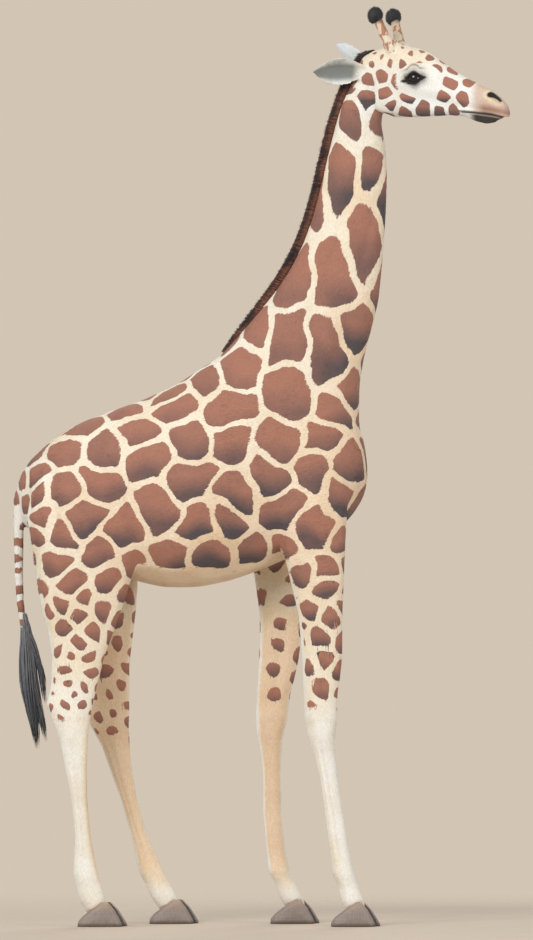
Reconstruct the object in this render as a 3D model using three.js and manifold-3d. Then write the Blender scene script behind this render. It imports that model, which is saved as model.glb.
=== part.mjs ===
// A reticulated giraffe, an adult female standing still, at life size.
// Millimetres, +Z up. The animal faces +X, its right side is towards -Y, and it stands on z = 0.
// The origin is on the ground under the middle of the animal's box.
import * as THREE from 'three';
import { mergeVertices } from 'three/addons/utils/BufferGeometryUtils.js';
import Module from 'manifold-3d';

const wasm = await Module();
wasm.setup();

// ---------------------------------------------------------------- driving sizes
const GAP = 0.4; // clearance between two pieces that meet
const RIGHT = -1;
const LEFT = 1;

const HEAD_TURN = THREE.MathUtils.degToRad(22); // the face is turned a little to the animal's right
const POLL = new THREE.Vector3(520, 0, 4220); // where the head turns on the neck
const HEAD_STRETCH = 1 / Math.cos(HEAD_TURN); // keeps the muzzle's reach in side view

const EYE_RADIUS = 36;
const EYE = new THREE.Vector3(800, 75, 4228);
const HORN_BASE = new THREE.Vector3(685, 70, 4350);
const HORN_TIP = new THREE.Vector3(622, 124, 4540);
const EAR_ROOT = new THREE.Vector3(566, 62, 4266);
const EAR_LENGTH = 285;

const HOOF_LENGTH = 245;
const HEEL_SHARE = { fore: 0.45, hind: 0.33 }; // of the hoof's length, behind the middle of the coronet
const CLAW_HALF = 38; // half the width of one claw
const CLAW_OFFSET = 42; // from the middle of the foot to the middle of a claw
const TOE_IN = 7; // how far a claw's tip leans towards the other claw
const MANE_HALF = 18; // half the thickness of the mane
const MANE_ROOT = 22; // how deep the mane starts inside the neck

// ---------------------------------------------------------------- colours
const COAT = new THREE.MeshStandardMaterial({ color: 0xb98563, roughness: 0.85, metalness: 0 });
const PALE = new THREE.MeshStandardMaterial({ color: 0xe9dcc4, roughness: 0.85, metalness: 0 });
const MANE = new THREE.MeshStandardMaterial({ color: 0x6d4132, roughness: 0.9, metalness: 0 });
const BLACK_HAIR = new THREE.MeshStandardMaterial({ color: 0x2c2a2b, roughness: 0.9, metalness: 0 });
const HOOF = new THREE.MeshStandardMaterial({ color: 0x7d6c62, roughness: 0.6, metalness: 0 });
const EYEBALL = new THREE.MeshStandardMaterial({ color: 0x17110e, roughness: 0.1, metalness: 0 });

// ---------------------------------------------------------------- solids
// A manifold solid of a closed three.js geometry.
function solid(geometry) {
  const bare = geometry.index ? geometry.toNonIndexed() : geometry.clone();
  bare.deleteAttribute('normal');
  bare.deleteAttribute('uv');
  const merged = mergeVertices(bare, 1e-3);
  const triVerts = new Uint32Array(merged.index.array);
  const make = () => new wasm.Manifold(new wasm.Mesh({
    numProp: 3, vertProperties: merged.attributes.position.array, triVerts,
  }));
  const made = make();
  if (made.volume() > 0) return made;
  triVerts.reverse();
  return make();
}

function mesh(name, shape, material) {
  const { vertProperties, triVerts } = shape.getMesh();
  const geometry = new THREE.BufferGeometry();
  geometry.setAttribute('position', new THREE.BufferAttribute(vertProperties, 3));
  geometry.setIndex(new THREE.BufferAttribute(triVerts, 1));
  geometry.computeVertexNormals();
  const made = new THREE.Mesh(geometry, material);
  made.name = name;
  return made;
}

const join = (shapes) => shapes.reduce((all, shape) => all.add(shape));

const signedPower = (value, power) => Math.sign(value) * Math.abs(value) ** power;

// A closed body through stations, from one end to the other. A station is
// { top: [x, y, z], low: [x, y, z], half, egg, round }: two opposite edges of the section, half its
// width across them, how much wider it is towards top (egg), and its squareness (round, 2 is an ellipse).
// grow makes the same body thicker all over.
function loft(stations, sides, rings, grow = 0) {
  const curve = (points) => new THREE.CatmullRomCurve3(points, false, 'centripetal');
  const tops = curve(stations.map((s) => new THREE.Vector3(...s.top)));
  const lows = curve(stations.map((s) => new THREE.Vector3(...s.low)));
  const forms = curve(stations.map((s) => new THREE.Vector3(s.half, 100 * (s.egg ?? 0), 100 * (s.round ?? 2))));
  const across = new THREE.Vector3();
  const along = new THREE.Vector3();
  const geometry = new THREE.SphereGeometry(1, sides, rings);
  const position = geometry.attributes.position;
  for (let i = 0; i < position.count; i += 1) {
    const ring = Math.round((Math.acos(THREE.MathUtils.clamp(position.getY(i), -1, 1)) / Math.PI) * rings);
    const t = THREE.MathUtils.clamp((ring - 1) / (rings - 2), 0, 1);
    const turn = Math.atan2(position.getZ(i), position.getX(i));
    const isPole = ring === 0 || ring === rings;
    const top = tops.getPoint(t);
    const low = lows.getPoint(t);
    const form = forms.getPoint(t);
    const depth = top.clone().sub(low).multiplyScalar(0.5);
    along.copy(tops.getTangent(t)).add(lows.getTangent(t));
    across.crossVectors(depth, along).normalize();
    depth.setLength(depth.length() + grow);
    const up = isPole ? 0 : signedPower(Math.cos(turn), 200 / form.z);
    const side = isPole ? 0 : signedPower(Math.sin(turn), 200 / form.z) * (1 + (form.y / 100) * Math.cos(turn));
    const point = top.add(low).multiplyScalar(0.5).addScaledVector(depth, up);
    point.addScaledVector(across, side * (form.x + grow));
    point.addScaledVector(along.normalize(), (Math.floor(t) - Math.floor(1 - t)) * grow);
    position.setXYZ(i, point.x, point.y, point.z);
  }
  return solid(geometry);
}

// A round tube with a changing radius: rows of [point, radius].
function tube(rows, sides, rings, grow = 0) {
  const stations = rows.map(([at, radius], i) => {
    const next = rows[Math.min(i + 1, rows.length - 1)][0];
    const last = rows[Math.max(i - 1, 0)][0];
    const run = next.clone().sub(last).normalize();
    const side = new THREE.Vector3(0, 1, 0);
    const out = new THREE.Vector3().crossVectors(side, run).normalize().multiplyScalar(radius);
    return { top: at.clone().add(out).toArray(), low: at.clone().sub(out).toArray(), half: radius };
  });
  return loft(stations, sides, rings, grow);
}

function ellipsoid(centre, radii, tilt = 0, grow = 0, detail = 10) {
  const geometry = new THREE.SphereGeometry(1, detail, Math.round(detail * 0.7));
  geometry.scale(radii[0] + grow, radii[1] + grow, radii[2] + grow);
  geometry.rotateY(tilt);
  geometry.translate(...centre);
  return solid(geometry);
}

// The space on the side of a plane that its normal points away from.
function behind(point, normal, inset = GAP / 2) {
  const size = 8000;
  const geometry = new THREE.BoxGeometry(size, size, size);
  geometry.translate(0, 0, -size / 2 - inset);
  const turn = new THREE.Quaternion().setFromUnitVectors(new THREE.Vector3(0, 0, 1), normal.clone().normalize());
  geometry.applyQuaternion(turn);
  geometry.translate(point.x, point.y, point.z);
  return solid(geometry);
}

// Turns a shape made in the head's own straight frame with the head.
function turnHead(shape) {
  const { vertProperties, triVerts } = shape.getMesh();
  const geometry = new THREE.BufferGeometry();
  geometry.setAttribute('position', new THREE.BufferAttribute(vertProperties, 3));
  geometry.setIndex(new THREE.BufferAttribute(triVerts, 1));
  geometry.translate(-POLL.x, -POLL.y, -POLL.z);
  geometry.rotateZ(-HEAD_TURN);
  geometry.translate(POLL.x, POLL.y, POLL.z);
  return solid(geometry);
}

// ---------------------------------------------------------------- trunk and neck
// A station of the trunk or neck: upper edge x, z, lower edge x, z, half width, egg, squareness.
const spineStation = ([topX, topZ, lowX, lowZ, half, egg, round]) => ({
  top: [topX, 0, topZ], low: [lowX, 0, lowZ], half, egg, round,
});

const TRUNK = [
  [-1214, 2205, -1208, 2085, 34, 0, 2], // buttock, under the tail
  [-1196, 2265, -1190, 2010, 88, 0, 2],
  [-1130, 2352, -1125, 1950, 150, 0.1, 2.1],
  [-1010, 2458, -1010, 1900, 200, 0.1, 2.2], // pin and hip
  [-860, 2535, -860, 1835, 232, 0, 2.2],
  [-700, 2592, -720, 1752, 258, -0.08, 2.1], // loin
  [-520, 2658, -560, 1697, 284, -0.12, 2.1],
  [-340, 2755, -400, 1678, 298, -0.14, 2.1], // deepest part of the barrel
  [-190, 2862, -230, 1698, 296, -0.16, 2.1],
  [-40, 2920, -60, 1745, 280, -0.16, 2.1], // withers
  [110, 2880, 100, 1812, 258, -0.12, 2.1],
  [250, 2790, 250, 1878, 236, -0.05, 2.2], // behind the elbow
  [375, 2680, 375, 1955, 206, 0, 2.2],
  [460, 2560, 468, 2052, 172, 0, 2.1], // breast
  [512, 2450, 520, 2140, 122, 0, 2.1],
  [532, 2350, 538, 2225, 58, 0, 2],
];

const NECK = [
  [-430, 2640, 430, 2040, 190, 0, 2.1], // deep inside the shoulders
  [-300, 2755, 510, 2260, 205, 0, 2.1],
  [-165, 2895, 498, 2480, 192, -0.05, 2.1],
  [-20, 3062, 500, 2700, 166, -0.05, 2.1],
  [100, 3215, 535, 2890, 141, 0, 2.1],
  [190, 3372, 588, 3075, 121, 0, 2.1],
  [250, 3530, 612, 3285, 107, 0, 2.1], // middle
  [293, 3690, 628, 3495, 97, 0, 2.1],
  [330, 3850, 637, 3700, 90, 0, 2.1],
  [368, 4000, 630, 3890, 85, 0, 2.1],
  [415, 4140, 606, 4035, 84, 0, 2.1], // throat
  [480, 4262, 630, 4130, 76, 0, 2.1],
  [540, 4320, 660, 4200, 60, 0, 2],
];

const trunkLoft = (grow) => loft(TRUNK.map(spineStation), 20, 18, grow);
const neckLoft = (grow) => loft(NECK.map(spineStation), 16, 18, grow);

// ---------------------------------------------------------------- legs
// A leg's section: how far down the joints it is, its reach to the rear and to the front of the
// bones' line, half its width, and its squareness.
const RIGHT_FORE = {
  shoulder: [215, 150, 2450], elbow: [268, 172, 1900], knee: [302, 182, 1020],
  cannon: [377, 190, 500], fetlock: [420, 194, 252], coronet: [462, 198, 118],
};
const FORE_LEG = [
  [0, 130, 145, 66], // shoulder blade
  [0.25, 188, 200, 92],
  [0.55, 196, 200, 104],
  [0.8, 182, 178, 98],
  [1, 168, 162, 86], // elbow
  [1.14, 146, 154, 77],
  [1.32, 106, 134, 69],
  [1.55, 90, 130, 64], // forearm
  [1.78, 86, 106, 58],
  [1.93, 89, 84, 60],
  [2.05, 85, 76, 63], // knee
  [2.2, 74, 60, 56],
  [2.38, 54, 50, 44],
  [2.62, 51, 47, 39],
  [3, 52, 50, 37], // cannon
  [3.6, 58, 46, 43],
  [4, 60, 54, 53], // fetlock
  [4.5, 58, 56, 50],
  [5, 62, 62, 54],
  [5.5, 50, 50, 50],
];

const RIGHT_HIND = {
  hip: [-890, 130, 2380], stifle: [-872, 172, 1850], hock: [-957, 172, 1090],
  cannon: [-889, 184, 500], fetlock: [-868, 190, 250], coronet: [-830, 194, 118],
};
const HIND_LEG = [
  [0, 130, 120, 58], // hip
  [0.25, 242, 242, 100],
  [0.55, 290, 292, 120], // thigh
  [0.8, 284, 284, 120],
  [1, 260, 266, 110], // stifle
  [1.2, 236, 244, 94],
  [1.35, 198, 218, 80],
  [1.5, 152, 188, 68], // gaskin
  [1.65, 120, 158, 58],
  [1.8, 106, 142, 52],
  [1.95, 114, 128, 49],
  [2.02, 112, 118, 50], // point of the hock
  [2.14, 84, 100, 48],
  [2.3, 66, 80, 45],
  [2.5, 58, 62, 40],
  [2.75, 46, 46, 37],
  [3, 42, 40, 36], // cannon
  [3.6, 56, 50, 41],
  [4, 70, 66, 51], // fetlock
  [4.5, 72, 64, 50],
  [5, 70, 66, 54],
  [5.5, 50, 50, 50],
];

// The other two legs stand in another phase of the step, so only their joints differ.
const LEFT_FORE = {
  ...RIGHT_FORE, elbow: [112, 172, 1885], knee: [54, 182, 1020],
  cannon: [62, 190, 500], fetlock: [100, 194, 252], coronet: [160, 198, 118],
};
const LEFT_HIND = {
  ...RIGHT_HIND, stifle: [-872, 172, 1830], hock: [-775, 172, 1035],
  cannon: [-630, 184, 515], fetlock: [-545, 190, 262], coronet: [-476, 194, 118],
};

// The point that lies a number of joints down a leg, such as 2.5 for halfway between the third and fourth.
function alongJoints(joints, side, down) {
  const points = Object.values(joints).map(([x, y, z]) => new THREE.Vector3(x, side * y, z));
  const i = Math.min(Math.floor(down), points.length - 2);
  return points[i].clone().lerp(points[i + 1], down - i);
}

function legLoft(joints, sections, side, grow) {
  const stations = sections.map(([down, rear, front, half, round]) => {
    const at = alongJoints(joints, side, down);
    return {
      top: [at.x + front + grow, at.y, at.z], low: [at.x - rear - grow, at.y, at.z], half: half + grow, round,
    };
  });
  return loft(stations, 12, 20);
}

// ---------------------------------------------------------------- hooves
// One claw along its length: share of the length, height, half width as a share of the whole.
const CLAW = [
  [0, 24, 0.5],
  [0.08, 48, 0.78],
  [0.25, 78, 0.96],
  [0.45, 112, 1],
  [0.6, 128, 0.98],
  [0.72, 116, 0.94],
  [0.86, 72, 0.84],
  [0.95, 36, 0.64],
  [1, 14, 0.34],
];

function claw({ name, side, joints }, clawSide, grow) {
  const points = Object.values(joints);
  const [coronetX, footY] = points[points.length - 1];
  const heel = coronetX - HEEL_SHARE[name] * HOOF_LENGTH;
  const middle = side * footY + clawSide * CLAW_OFFSET;
  const stations = CLAW.map(([share, height, width]) => {
    const x = heel + share * HOOF_LENGTH;
    const y = middle - clawSide * TOE_IN * share;
    return { top: [x, y, height + grow], low: [x, y, -CLAW_HALF], half: width * CLAW_HALF + grow, round: 2.6 };
  });
  const ground = behind(new THREE.Vector3(), new THREE.Vector3(0, 0, -1), 0);
  return loft(stations, 8, 9).intersect(ground);
}

// ---------------------------------------------------------------- head
// Stations from the poll to the lip, in the head's own straight frame.
const headX = (x) => POLL.x + (x - POLL.x) * HEAD_STRETCH;
const headStation = ([topX, topZ, lowX, lowZ, half, egg, round]) => ({
  top: [headX(topX), 0, topZ], low: [headX(lowX), 0, lowZ], half, egg, round,
});

const SKULL = [
  [492, 4300, 480, 4190, 38, 0, 2],
  [520, 4346, 512, 4120, 66, 0.05, 2.1], // poll
  [580, 4376, 570, 4076, 80, 0.1, 2.2],
  [655, 4390, 645, 4058, 88, 0.14, 2.3], // horns
  [735, 4394, 735, 4054, 90, 0.16, 2.3], // brow
  [810, 4374, 810, 4054, 79, 0.12, 2.3],
  [880, 4334, 885, 4058, 66, 0.08, 2.2],
  [950, 4278, 955, 4062, 56, 0.04, 2.2],
  [1020, 4234, 1025, 4062, 50, 0, 2.2], // nose bridge
  [1090, 4200, 1090, 4058, 49, 0, 2.3],
  [1145, 4171, 1145, 4044, 52, 0.04, 2.4], // nostrils
  [1190, 4138, 1192, 4030, 50, 0, 2.3],
  [1222, 4098, 1224, 4026, 39, 0, 2.2],
  [1238, 4064, 1239, 4038, 18, 0, 2], // upper lip
];

const JAW = [
  [560, 4180, 572, 4120, 40, 0, 2],
  [590, 4190, 600, 4062, 66, 0.2, 2.1], // angle of the jaw
  [660, 4180, 670, 4036, 70, 0.22, 2.1],
  [750, 4170, 760, 4034, 62, 0.2, 2.1],
  [850, 4150, 855, 4038, 50, 0.15, 2.1],
  [940, 4130, 945, 4042, 41, 0.1, 2.1],
  [1015, 4105, 1020, 4036, 36, 0, 2.1],
  [1070, 4080, 1072, 4012, 37, 0, 2.2], // chin
  [1120, 4060, 1124, 3998, 36, 0, 2.2],
  [1165, 4042, 1168, 4004, 28, 0, 2.1],
  [1188, 4032, 1190, 4018, 12, 0, 2],
];

// Round forms on each side of the skull: the rim of the eye socket and the chewing muscle.
const SOCKET = { centre: [EYE.x - 6, 58, EYE.z + 8], radii: [96, 39, 70] };
const CHEEK = { centre: [658, 42, 4142], radii: [112, 37, 92] };

function headShape(grow) {
  const sideForms = [SOCKET, CHEEK].flatMap(({ centre: [x, y, z], radii }) => [RIGHT, LEFT].map(
    (side) => ellipsoid([headX(x), side * y, z], radii, 0.1, grow),
  ));
  return turnHead(join([
    loft(SKULL.map(headStation), 16, 16, grow),
    loft(JAW.map(headStation), 10, 12, grow),
    ...sideForms,
  ]));
}

// A place in the head's own frame, mirrored to one side.
const headPlace = (place, side) => new THREE.Vector3(headX(place.x), side * place.y, place.z);

function eye(side, grow = 0) {
  const at = headPlace(EYE, side);
  return turnHead(ellipsoid(at.toArray(), [EYE_RADIUS, EYE_RADIUS, EYE_RADIUS], 0, grow, 12));
}

function horn(side, grow = 0) {
  const base = headPlace(HORN_BASE, side);
  const tip = headPlace(HORN_TIP, side);
  const rows = [[0, 40], [0.2, 34], [0.45, 27], [0.7, 23], [0.9, 24], [1, 18]];
  return turnHead(tube(rows.map(([share, radius]) => [base.clone().lerp(tip, share), radius]), 8, 7, grow));
}

function hornTuft(side) {
  const tip = headPlace(HORN_TIP, side);
  return turnHead(ellipsoid([tip.x - 4, tip.y, tip.z + 2], [41, 41, 46], -0.3));
}

// An ear is a cupped leaf: its length, then how far each section opens and how deep its cup is.
const EAR = [
  // share of the length, half width, cup depth, thickness
  [0, 26, 10, 30],
  [0.12, 36, 20, 20],
  [0.3, 62, 32, 12],
  [0.5, 74, 34, 11],
  [0.68, 66, 26, 10],
  [0.84, 44, 14, 9],
  [0.95, 18, 4, 8],
  [1, 5, 0, 6],
];
const EAR_POSE = {
  [RIGHT]: { run: new THREE.Vector3(-0.83, -0.55, -0.02), opens: new THREE.Vector3(0.36, -0.88, -0.3) },
  [LEFT]: { run: new THREE.Vector3(-0.85, 0.12, 0.51), opens: new THREE.Vector3(0.5, 0.45, 0.2) },
};

function ear(side) {
  const run = EAR_POSE[side].run.clone().normalize();
  const across = new THREE.Vector3().crossVectors(EAR_POSE[side].opens, run).normalize();
  const out = new THREE.Vector3().crossVectors(run, across).normalize(); // the way the cup opens
  const root = headPlace(EAR_ROOT, side);
  const sides = 10;
  const rings = 10;
  const shares = new THREE.CatmullRomCurve3(EAR.map(([share, half]) => new THREE.Vector3(share, half, 0)));
  const walls = new THREE.CatmullRomCurve3(EAR.map(([, , cup, wall]) => new THREE.Vector3(cup, wall, 0)));
  const geometry = new THREE.SphereGeometry(1, sides, rings);
  const position = geometry.attributes.position;
  for (let i = 0; i < position.count; i += 1) {
    const ring = Math.round((Math.acos(THREE.MathUtils.clamp(position.getY(i), -1, 1)) / Math.PI) * rings);
    const t = THREE.MathUtils.clamp((ring - 1) / (rings - 2), 0, 1);
    const turn = Math.atan2(position.getZ(i), position.getX(i));
    const round = ring === 0 || ring === rings ? 0 : 1;
    const { x: share, y: half } = shares.getPoint(t);
    const { x: cup, y: wall } = walls.getPoint(t);
    const wide = Math.cos(turn) * round;
    const point = root.clone().addScaledVector(run, share * EAR_LENGTH);
    point.addScaledVector(across, wide * half);
    point.addScaledVector(out, cup * (wide * wide - 1) + (Math.sin(turn) * round * wall) / 2);
    position.setXYZ(i, point.x, point.y, point.z);
  }
  return turnHead(solid(geometry));
}

// ---------------------------------------------------------------- mane and tail
// The mane stands on the back edge of the neck: neck edge x, z and how far the hair stands out.
const MANE_RISE = [
  [-190, 2868, 8], [-100, 2965, 32], [0, 3085, 42], [110, 3228, 48], [193, 3375, 50], [252, 3530, 50],
  [295, 3690, 50], [332, 3850, 51], [370, 4000, 52], [412, 4130, 52], [464, 4245, 52], [516, 4340, 46],
  [576, 4374, 12],
];

function mane() {
  const edge = new THREE.CatmullRomCurve3(MANE_RISE.map(([x, z]) => new THREE.Vector3(x, 0, z)));
  const stations = MANE_RISE.map(([x, z, rise], i) => {
    const run = edge.getTangent(i / (MANE_RISE.length - 1));
    const out = new THREE.Vector3(-run.z, 0, run.x);
    const root = new THREE.Vector3(x, 0, z);
    return {
      top: root.clone().addScaledVector(out, rise).toArray(),
      low: root.clone().addScaledVector(out, -MANE_ROOT).toArray(),
      half: MANE_HALF,
      egg: -0.25,
    };
  });
  return loft(stations, 8, 15);
}

const TAIL = [
  [-1150, 2235, 34], [-1190, 2190, 37], [-1206, 2110, 34], [-1209, 2000, 30], [-1210, 1850, 27],
  [-1207, 1700, 24], [-1196, 1560, 21], [-1176, 1440, 18], [-1163, 1350, 15],
];
const tailTube = (grow) => tube(TAIL.map(([x, z, radius]) => [new THREE.Vector3(x, 0, z), radius]), 8, 12, grow);

// The locks of the tail's tuft: rows of x, y, z, radius.
const TAIL_LOCKS = [
  [
    [-1182, 0, 1540, 20], [-1166, 0, 1420, 32], [-1146, 0, 1300, 48], [-1138, -4, 1180, 54],
    [-1136, -6, 1080, 42], [-1128, -4, 970, 25], [-1112, 0, 868, 7],
  ],
  [[-1150, 0, 1400, 20], [-1104, -14, 1300, 26], [-1078, -18, 1200, 24], [-1070, -16, 1110, 10]],
  [[-1128, 0, 1230, 30], [-1106, 16, 1110, 27], [-1078, 22, 1010, 22], [-1068, 18, 905, 6]],
];

function tailTuft() {
  const locks = TAIL_LOCKS.map((rows) => tube(
    rows.map(([x, y, z, radius]) => [new THREE.Vector3(x, y, z), radius]), 8, 8,
  ));
  return join(locks).subtract(tailTube(GAP));
}

// ---------------------------------------------------------------- the animal
const legs = [
  { name: 'fore', side: RIGHT, joints: RIGHT_FORE, sections: FORE_LEG },
  { name: 'fore', side: LEFT, joints: LEFT_FORE, sections: FORE_LEG },
  { name: 'hind', side: RIGHT, joints: RIGHT_HIND, sections: HIND_LEG },
  { name: 'hind', side: LEFT, joints: LEFT_HIND, sections: HIND_LEG },
];
const sideName = (side) => (side === RIGHT ? 'right' : 'left');

// The flesh is parted at the throat, at the foot of the neck and at the four legs.
const THROAT = { point: new THREE.Vector3(500, 0, 4150), normal: new THREE.Vector3(0.62, 0, 0.78) };
const NECK_FOOT = { point: new THREE.Vector3(180, 0, 2880), normal: new THREE.Vector3(0.42, 0, 0.9) };
const ELBOWS = { point: new THREE.Vector3(200, 0, 1752), normal: new THREE.Vector3(-0.06, 0, 1) };
const GROINS = { point: new THREE.Vector3(-700, 0, 1715), normal: new THREE.Vector3(0.36, 0, 1) };
const above = ({ point, normal }, inset) => behind(point, normal.clone().negate(), inset);
const below = ({ point, normal }, inset) => behind(point, normal, inset);
const legCut = ({ name }) => (name === 'fore' ? ELBOWS : GROINS);
const wholeLeg = ({ side, joints, sections }, grow) => legLoft(joints, sections, side, grow);
const upperLeg = (leg, grow) => wholeLeg(leg, grow).intersect(above(legCut(leg), GAP / 2 - grow));
const lowerLeg = (leg, grow) => wholeLeg(leg, grow).intersect(below(legCut(leg), GAP / 2 - grow));
const upperBody = (grow) => join([
  trunkLoft(grow), neckLoft(grow), headShape(grow), ...legs.map((leg) => upperLeg(leg, grow)),
]);

const giraffe = new THREE.Group();
const flesh = upperBody(0);
const fleshGrown = upperBody(GAP);

[RIGHT, LEFT].forEach((side) => {
  giraffe.add(mesh(`eye_${sideName(side)}`, eye(side), EYEBALL));
  giraffe.add(mesh(`ossicone_${sideName(side)}`, horn(side).subtract(fleshGrown), COAT));
  giraffe.add(mesh(`ossicone_tuft_${sideName(side)}`, hornTuft(side).subtract(horn(side, GAP)), BLACK_HAIR));
  giraffe.add(mesh(`ear_${sideName(side)}`, ear(side).subtract(fleshGrown), PALE));
});

const head = flesh.intersect(above(THROAT)).intersect(above(NECK_FOOT));
const neck = flesh.intersect(below(THROAT)).intersect(above(NECK_FOOT));
let trunk = flesh.intersect(below(NECK_FOOT));
legs.forEach((leg) => {
  const { name, side } = leg;
  let lower = lowerLeg(leg, 0);
  [RIGHT, LEFT].forEach((clawSide) => {
    const where = clawSide === side ? 'outer' : 'inner';
    giraffe.add(mesh(`hoof_${name}_${sideName(side)}_${where}`, claw(leg, clawSide, 0), HOOF));
    lower = lower.subtract(claw(leg, clawSide, GAP));
  });
  giraffe.add(mesh(`leg_${name}_${sideName(side)}`, lower, PALE));
  trunk = trunk.subtract(lowerLeg(leg, GAP));
});
giraffe.add(mesh('head', head.subtract(eye(RIGHT, GAP)).subtract(eye(LEFT, GAP)), COAT));
giraffe.add(mesh('neck', neck, COAT));
giraffe.add(mesh('trunk', trunk, COAT));

giraffe.add(mesh('mane', mane().subtract(fleshGrown), MANE));
giraffe.add(mesh('tail', tailTube(0).subtract(fleshGrown), PALE));
giraffe.add(mesh('tail_tuft', tailTuft(), BLACK_HAIR));

const middle = new THREE.Box3().setFromObject(giraffe).getCenter(new THREE.Vector3());
giraffe.position.set(-middle.x, -middle.y, 0);

export default giraffe;
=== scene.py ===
# A reticulated giraffe as a still, life-size model: skin, coat, mane, tail hair, horns, eyes and hooves.
import math

import bmesh
import bpy
import numpy as np
from mathutils import Matrix, Vector
from mathutils.kdtree import KDTree


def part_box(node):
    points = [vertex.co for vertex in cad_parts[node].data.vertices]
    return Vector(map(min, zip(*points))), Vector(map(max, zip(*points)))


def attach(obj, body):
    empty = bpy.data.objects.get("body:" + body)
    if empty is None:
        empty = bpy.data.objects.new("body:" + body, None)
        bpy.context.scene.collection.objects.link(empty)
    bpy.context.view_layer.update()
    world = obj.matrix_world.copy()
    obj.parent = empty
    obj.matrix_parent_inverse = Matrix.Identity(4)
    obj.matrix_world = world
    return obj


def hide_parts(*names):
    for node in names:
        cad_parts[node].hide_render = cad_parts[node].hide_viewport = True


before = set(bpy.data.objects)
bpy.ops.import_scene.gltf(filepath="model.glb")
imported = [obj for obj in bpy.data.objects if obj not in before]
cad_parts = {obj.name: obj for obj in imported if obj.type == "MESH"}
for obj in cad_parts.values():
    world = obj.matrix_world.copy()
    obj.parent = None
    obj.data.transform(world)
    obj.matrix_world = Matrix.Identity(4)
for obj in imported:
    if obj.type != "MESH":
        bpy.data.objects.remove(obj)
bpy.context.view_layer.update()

SIDES = ("right", "left")
OUTWARD = {"right": -1, "left": 1}
LEGS = [f"leg_{end}_{side}" for end in ("fore", "hind") for side in SIDES]
EARS = ["ear_right", "ear_left"]
FLESH = ["trunk", "neck", "head", "tail", *EARS, *LEGS]
CHANCE = np.random.default_rng(7)


# ---------------------------------------------------------------- places

def middle(node):
    low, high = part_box(node)
    return (low + high) / 2


EYES = {side: middle(f"eye_{side}") for side in SIDES}
EYE_RADIUS = (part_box("eye_right")[1].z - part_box("eye_right")[0].z) / 2
BROW = (EYES["right"] + EYES["left"]) / 2  # the head's own origin, between the eyes
LEFTWARD = (EYES["left"] - EYES["right"]).normalized()
FORWARD = LEFTWARD.cross(Vector((0, 0, 1))).normalized()
HEAD_AXES = np.array([FORWARD, LEFTWARD, (0, 0, 1)])  # rows: forward, left, up
HALF_GAP = (EYES["left"] - EYES["right"]).length / 2


def in_head(points):
    """Points as forward, left and up of the middle between the eyes."""
    return (points - np.array(BROW)) @ HEAD_AXES.T


def from_head(points):
    return points @ HEAD_AXES + np.array(BROW)


def soft(low, high, values):
    """A soft step from 0 at low to 1 at high."""
    t = np.clip((values - low) / (high - low), 0, 1)
    return t * t * (3 - 2 * t)


def hump(values, centre, reach):
    """A soft hump of height 1 at centre."""
    return np.exp(-(((values - centre) / reach) ** 2))


def blend(weight, first, second):
    return first * (1 - weight) + second * weight


def unit(vectors):
    return vectors / np.maximum(np.linalg.norm(vectors, axis=-1, keepdims=True), 1e-9)


def colour(red, green, blue):
    """A display colour of 0 to 255 as the linear light that a shader takes."""
    shown = np.array((red, green, blue)) / 255
    return np.where(shown <= 0.04045, shown / 12.92, ((shown + 0.055) / 1.055) ** 2.4)


# ---------------------------------------------------------------- meshes

def link(name, mesh, material, smooth_faces=True):
    piece = bpy.data.objects.new(name, mesh)
    bpy.context.scene.collection.objects.link(piece)
    if material:
        mesh.materials.append(material)
    if smooth_faces:
        mesh.shade_smooth()
    else:
        mesh.shade_flat()
    return piece


def apply_modifiers(piece):
    bpy.context.view_layer.update()
    graph = bpy.context.evaluated_depsgraph_get()
    mesh = bpy.data.meshes.new_from_object(piece.evaluated_get(graph), depsgraph=graph)
    old = piece.data
    piece.modifiers.clear()
    piece.data = mesh
    bpy.data.meshes.remove(old)


def modify(piece, kind, **settings):
    modifier = piece.modifiers.new(kind.lower(), kind)
    for name, value in settings.items():
        setattr(modifier, name, value)
    apply_modifiers(piece)


def vectors(items, field, count=3):
    found = np.empty(len(items) * count, np.float32)
    items.foreach_get(field, found)
    return found.reshape(-1, count).astype(float)


def points_of(mesh):
    return vectors(mesh.vertices, "co")


def normals_of(mesh):
    return vectors(mesh.vertex_normals, "vector")


def set_points(mesh, points):
    mesh.vertices.foreach_set("co", points.astype(np.float32).ravel())
    mesh.update()


def attribute(mesh, name, values, domain="POINT"):
    kind, field = ("FLOAT", "value") if values.ndim == 1 else ("FLOAT_VECTOR", "vector")
    made = mesh.attributes.new(name, kind, domain)
    made.data.foreach_set(field, values.astype(np.float32).ravel())


def weigh(piece, name, weights):
    """A vertex group with these weights, in steps of a twentieth."""
    group = piece.vertex_groups.new(name=name)
    levels = np.round(np.clip(weights, 0, 1) * 20).astype(int)
    for level in np.unique(levels):
        group.add(np.flatnonzero(levels == level).tolist(), float(level) / 20, "REPLACE")


def finish_piece(piece, slot, *nodes):
    if nodes:
        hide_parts(*nodes)
    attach(piece, "root")
    return piece


def node_copy(node, grow=0.0):
    """A merged copy of a solid from the frame."""
    part = bmesh.new()
    part.from_mesh(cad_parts[node].data)
    bmesh.ops.remove_doubles(part, verts=part.verts, dist=1e-5)
    part.normal_update()
    for vert in part.verts:
        vert.co += vert.normal * grow
    return part


def joined(parts, name):
    """Several bmeshes as one mesh."""
    whole = bmesh.new()
    for part in parts:
        piece = bpy.data.meshes.new("part")
        part.to_mesh(piece)
        whole.from_mesh(piece)
        part.free()
        bpy.data.meshes.remove(piece)
    mesh = bpy.data.meshes.new(name)
    whole.to_mesh(mesh)
    whole.free()
    return mesh


# ---------------------------------------------------------------- skin

LID_HALF = 0.033  # corner to corner of the lids, halved
LID_TOP = 0.022
LID_BOTTOM = 0.019
LID_TILT = math.radians(5)
HORN_LEAN = 0.017
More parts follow.
